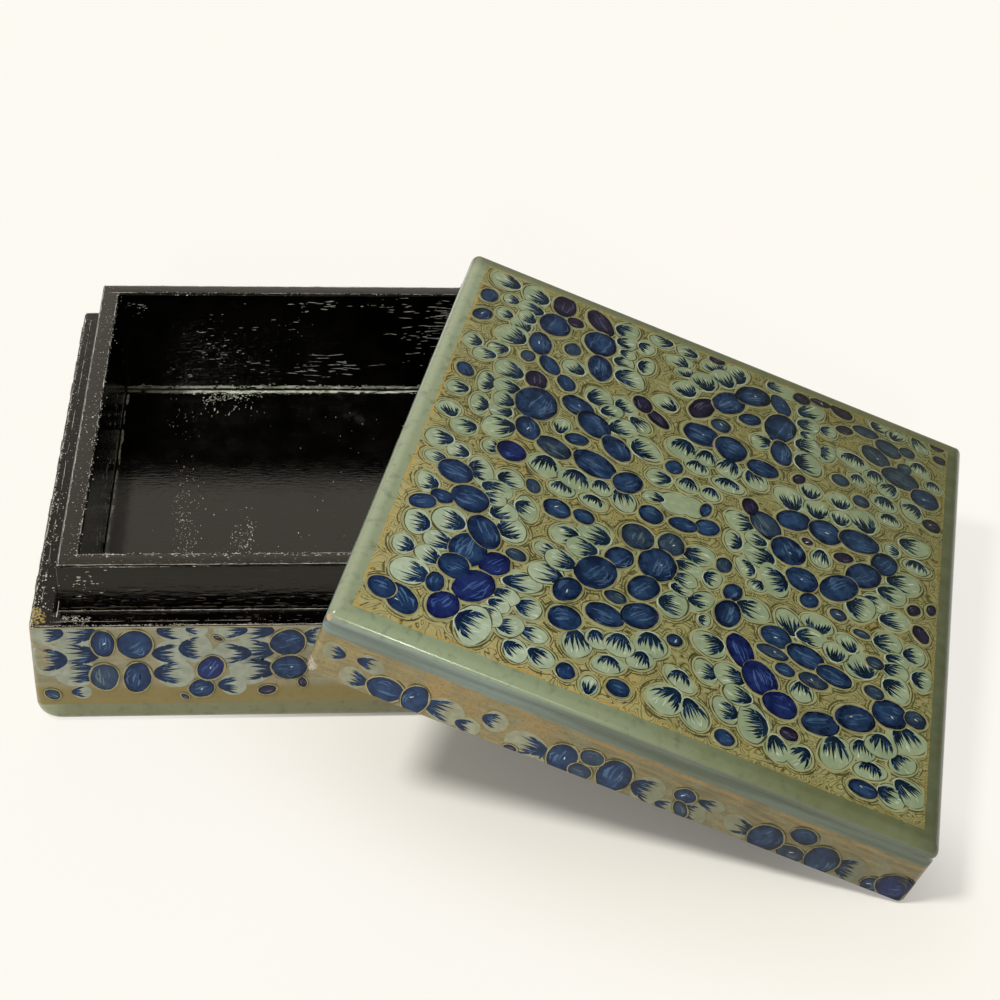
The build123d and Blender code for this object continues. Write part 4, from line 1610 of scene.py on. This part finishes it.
def rubbed_line(sheet, start, end, wide, gap, colour="crumb"):
    """A broken line where an edge is rubbed through: short touches end to end, a share of them missing."""
    start, end = Vector(start), Vector(end)
    way = (end - start).normalized()
    aside = way.orthogonal()
    heading = angle_of(way)
    run = 0.0
    while run < (end - start).length:
        long = wear_hand.uniform(0.4, 2.6)
        if wear_hand.random() > gap:
            spot = start + way * (run + long) + aside * wear_hand.uniform(-0.5, 0.5) * wide
            sheet.touch(colour, spot.x, spot.y, long * 1.15, wide * wear_hand.uniform(0.25, 0.8),
                        heading + wear_hand.uniform(-4, 4), wear_hand.uniform(2, 6), corners=8,
                        taper=wear_hand.uniform(-0.5, 0.5), tone=wear_hand.random())
        run += long * 1.6


def scratches(sheet, u, v, spread_u, spread_v, count, long, turn=0.0, colour="crumb"):
    """A group of short scratches round a point."""
    for _ in range(count):
        length = long * wear_hand.uniform(0.12, 1.0) ** 1.5
        sheet.touch(colour, wear_hand.gauss(u, spread_u), wear_hand.gauss(v, spread_v), length,
                    wear_hand.uniform(0.06, 0.17), turn + wear_hand.uniform(-7, 7), wear_hand.uniform(2, 6),
                    corners=6, tone=wear_hand.random() ** 1.6)


print("wear helpers ready")

# %% Wear inside
inside = outer_wall + collar_wall
room, run = width - 2 * inside, depth - 2 * inside
floor_sheet, back_sheet, left_sheet = Sheet("floor_wear"), Sheet("back_wear"), Sheet("left_wear")
front_sheet, right_sheet = Sheet("front_wear"), Sheet("right_wear")
wall_height = collar_top - floor_top
# glint lines along the floor's corners with the walls: partly wear, partly painted highlight
rubbed_line(floor_sheet, (0.6, run - 0.5), (room - 0.6, run - 0.5), 0.9, 0.02, "glint")
rubbed_line(floor_sheet, (6, run - 1.3), (room * 0.7, run - 1.2), 0.9, 0.15, "glint")
crumbs(floor_sheet, (6, run - 1.2), (64, run - 0.9), 460, 0.5, 0.6, "glint")
crumbs(floor_sheet, (24, run - 6.0), (42, run - 2.5), 170, 1.3, 0.32, "glint")
rubbed_line(back_sheet, (0.6, 0.5), (room - 0.6, 0.5), 0.8, 0.02, "glint")
crumbs(back_sheet, (4, 0.9), (room - 4, 0.9), 300, 0.4, 0.5, "glint")
rubbed_line(back_sheet, (2, 1.3), (room - 2, 1.2), 0.35, 0.4)
crumbs(floor_sheet, (4, run - 1.8), (room - 4, run - 1.6), 150, 0.5, 0.4)
rubbed_line(floor_sheet, (0.6, 2), (0.7, run - 2), 0.8, 0.25, "glint")
rubbed_line(left_sheet, (2, 1.0), (run - 2, 1.0), 0.9, 0.3, "glint")
for u, v, spread_u, spread_v, count, long in [
    (5, 30, 3, 0.5, 12, 1.4), (6, 27, 2, 2, 10, 0.4), (28, 19, 6, 6, 46, 1.0), (60, 30.5, 4, 0.7, 16, 1.8),
    (52, 24, 4, 3, 16, 1.0), (62, 8.5, 8, 2.5, 40, 3.0), (40, 8, 4, 2, 18, 0.9), (98, 26, 6, 4, 70, 3.2),
    (94, 19, 8, 2, 34, 2.4), (99, 11, 6, 2.5, 30, 2.0), (118, 18, 6, 8, 40, 2.2), (18, 5, 5, 2, 18, 0.6),
    (80, 30, 6, 1.5, 18, 1.2),
]:
    scratches(back_sheet, u, v, spread_u, spread_v, count, long)
for u, v, spread_u, spread_v, count, long in [
    (22, 45, 2.6, 22, 150, 0.45), (20, 68, 1.2, 12, 60, 0.6), (38, 52, 2.2, 8, 60, 0.5),
    (30, 120, 6, 2.5, 34, 1.0), (17, 110, 3, 6, 20, 0.5), (50, 30, 20, 14, 160, 0.25),
    (90, 60, 24, 30, 90, 0.4), (70, 112, 16, 6, 20, 0.4),
]:
    scratches(floor_sheet, u, v, spread_u, spread_v, count, long, 90)
crumbs(floor_sheet, (30, 4), (30, 52), 900, 16, 0.16, "scuff")
crumbs(floor_sheet, (24, 20), (22, 75), 160, 1.6, 0.3)
crumbs(floor_sheet, (37, 40), (40, 62), 90, 1.6, 0.3)
scratches(left_sheet, run * 0.45, 9, run * 0.25, 5, 70, 1.6, 0, "glint")
scratches(front_sheet, room * 0.5, 16, room * 0.25, 8, 80, 1.6)
scratches(right_sheet, run * 0.5, 16, run * 0.25, 8, 80, 1.6)
for sheet in (front_sheet, right_sheet):
    rubbed_line(sheet, (1, 0.7), (room - 2, 0.7), 0.6, 0.2, "glint")
print("marks on the floor:", floor_sheet.amount())

# %% Wear on the collar and the ledge
ledge_sheet, collar_sheet = Sheet("ledge_wear"), Sheet("collar_top_wear")
collar_front, collar_left = Sheet("collar_front_wear"), Sheet("collar_left_wear")
SLOPE = 0.45  # from a wall to the middle of its rounded edge
out, rim = outer_wall + SLOPE, inside - SLOPE


def frame_lines(sheet, inset, wide, gap, count, spread, size):
    """A rubbed line and crumbs round a rectangle that stands in from the walls."""
    corners = [(inset, inset), (width - inset, inset), (width - inset, depth - inset), (inset, depth - inset)]
    for start, end in zip(corners, corners[1:] + corners[:1]):
        rubbed_line(sheet, start, end, wide, gap)
        crumbs(sheet, start, end, count, spread, size)


frame_lines(ledge_sheet, 0.72, 0.16, 0.5, 900, 0.22, 0.2)
frame_lines(ledge_sheet, 2.4, 0.08, 0.5, 120, 0.6, 0.13)
frame_lines(ledge_sheet, outer_wall - SLOPE, 0.15, 0.05, 120, 0.3, 0.15)
frame_lines(collar_sheet, out, 0.13, 0.03, 160, 0.25, 0.17)
frame_lines(collar_sheet, rim, 0.12, 0.45, 260, 0.3, 0.2)
crumbs(collar_sheet, (out, out + 1), (width - out, out + 1), 140, 0.9, 0.35, "scuff")
crumbs(collar_sheet, (rim - 1.2, out + 4), (rim - 1.2, depth - out), 170, 1.1, 0.3)
crumbs(collar_sheet, (out + 4, rim - 0.6), (width - out, rim - 0.6), 150, 0.4, 0.34)
crumbs(collar_sheet, (out + 2, out), (out + 2, depth - out), 160, 1.2, 0.3, "scuff")
crumbs(ledge_sheet, (2, 8), (2, 60), 90, 1.6, 0.4)
crumbs(ledge_sheet, (3, 4), (3, depth - 6), 220, 2.2, 0.24)
crumbs(ledge_sheet, (8, 3.8), (15, 2.8), 90, 0.7, 0.3)
scratches(ledge_sheet, 60, 4.2, 40, 1.2, 60, 1.0, 0, "scuff")
length = width - 2 * outer_wall
rubbed_line(collar_front, (0, 0.7), (length, 0.7), 0.3, 0.3, "scuff")
scratches(collar_front, length / 2, 3, length / 3, 1.6, 130, 2.2, 0, "scuff")
scratches(collar_front, 6, 8, 3, 2.5, 40, 0.6)
scratches(collar_left, length / 2, 5, length / 3, 3, 90, 1.8, 0, "scuff")
print("crumbs on the ledge:", ledge_sheet.amount())

# %% Paint the wear
WEAR_SHADES = {
    "crumb": ((104, 100, 90), (232, 230, 220), (200, 192, 178)),
    "scuff": ((40, 36, 30), (110, 104, 92), (70, 66, 56)),
    # glint: partly wear, partly a painted highlight along the inner corners and walls
    "glint": ((128, 134, 106), (244, 246, 230), (226, 230, 208)),
}
wear_paints = {name: paint_of(f"wear_{name}", base_place, *shades) for name, shades in WEAR_SHADES.items()}


def inner_wall(sheet, corner, ahead, long):
    """The wear on a wall inside the box: its sheet, its panel, and the window that it is trimmed to."""
    window = (0.1, 0.1, long - 0.1, wall_height - 1.0)
    return sheet, panel(base_place, (*corner, floor_top), ahead, UPWARDS), window


def level(sheet, inset, height, margin):
    """The same for a flat surface, seen from above, that stands in from the base's outer walls."""
    window = (margin, margin, width - 2 * inset - margin, depth - 2 * inset - margin)
    return sheet, panel(base_place, (inset, inset, height), RIGHTWARDS, BACKWARDS), window


on_collar = 12.6  # up to where the collar's outer walls are scuffed
collar_front_panel = panel(base_place, (outer_wall, outer_wall, ledge_height), RIGHTWARDS, UPWARDS)
collar_left_panel = panel(base_place, (outer_wall, depth - outer_wall, ledge_height), FORWARDS, UPWARDS)
wear_sheets = [
    level(floor_sheet, inside, floor_top, 0.1),
    inner_wall(back_sheet, (inside, depth - inside), RIGHTWARDS, room),
    inner_wall(left_sheet, (inside, inside), BACKWARDS, run),
    inner_wall(front_sheet, (width - inside, inside), LEFTWARDS, room),
    inner_wall(right_sheet, (width - inside, depth - inside), FORWARDS, run),
    level(ledge_sheet, 0, ledge_height, 0.5),
    level(collar_sheet, 0, collar_top, out - 0.2),
    (collar_front, collar_front_panel, (0.3, 0.1, length - 0.3, on_collar)),
    (collar_left, collar_left_panel, (0.3, 0.1, length, on_collar)),
]
wear_colours = paint_sheets(wear_sheets, wear_paints)
wear_pieces = joined_all("wear_{}s", wear_colours, wear_paints)
for piece in wear_pieces:
    print(piece.name, len(piece.data.polygons), "faces")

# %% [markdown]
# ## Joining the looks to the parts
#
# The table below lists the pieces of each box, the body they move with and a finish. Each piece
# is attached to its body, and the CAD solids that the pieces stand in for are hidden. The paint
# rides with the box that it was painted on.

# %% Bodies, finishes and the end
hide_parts("base_bottom_board",
            "base_front_wall", "base_right_wall", "base_back_wall", "base_left_wall")
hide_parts("base_floor_board", "collar_front", "collar_right", "collar_back", "collar_left")
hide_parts("lid_top_board", "lid_front_wall", "lid_right_wall", "lid_back_wall", "lid_left_wall")
for pieces, body, finish in [
    ([base_case], "base", "floral_lacquer"),
    ([inner_box], "base", "black_lacquer"),
    ([lid_case], "lid", "floral_lacquer"),
    (lid_pieces, "lid", "floral_lacquer"),
    (base_pieces, "base", "floral_lacquer"),
    (wear_pieces, "base", "black_lacquer"),
]:
    for piece in pieces:
        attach(piece, body)
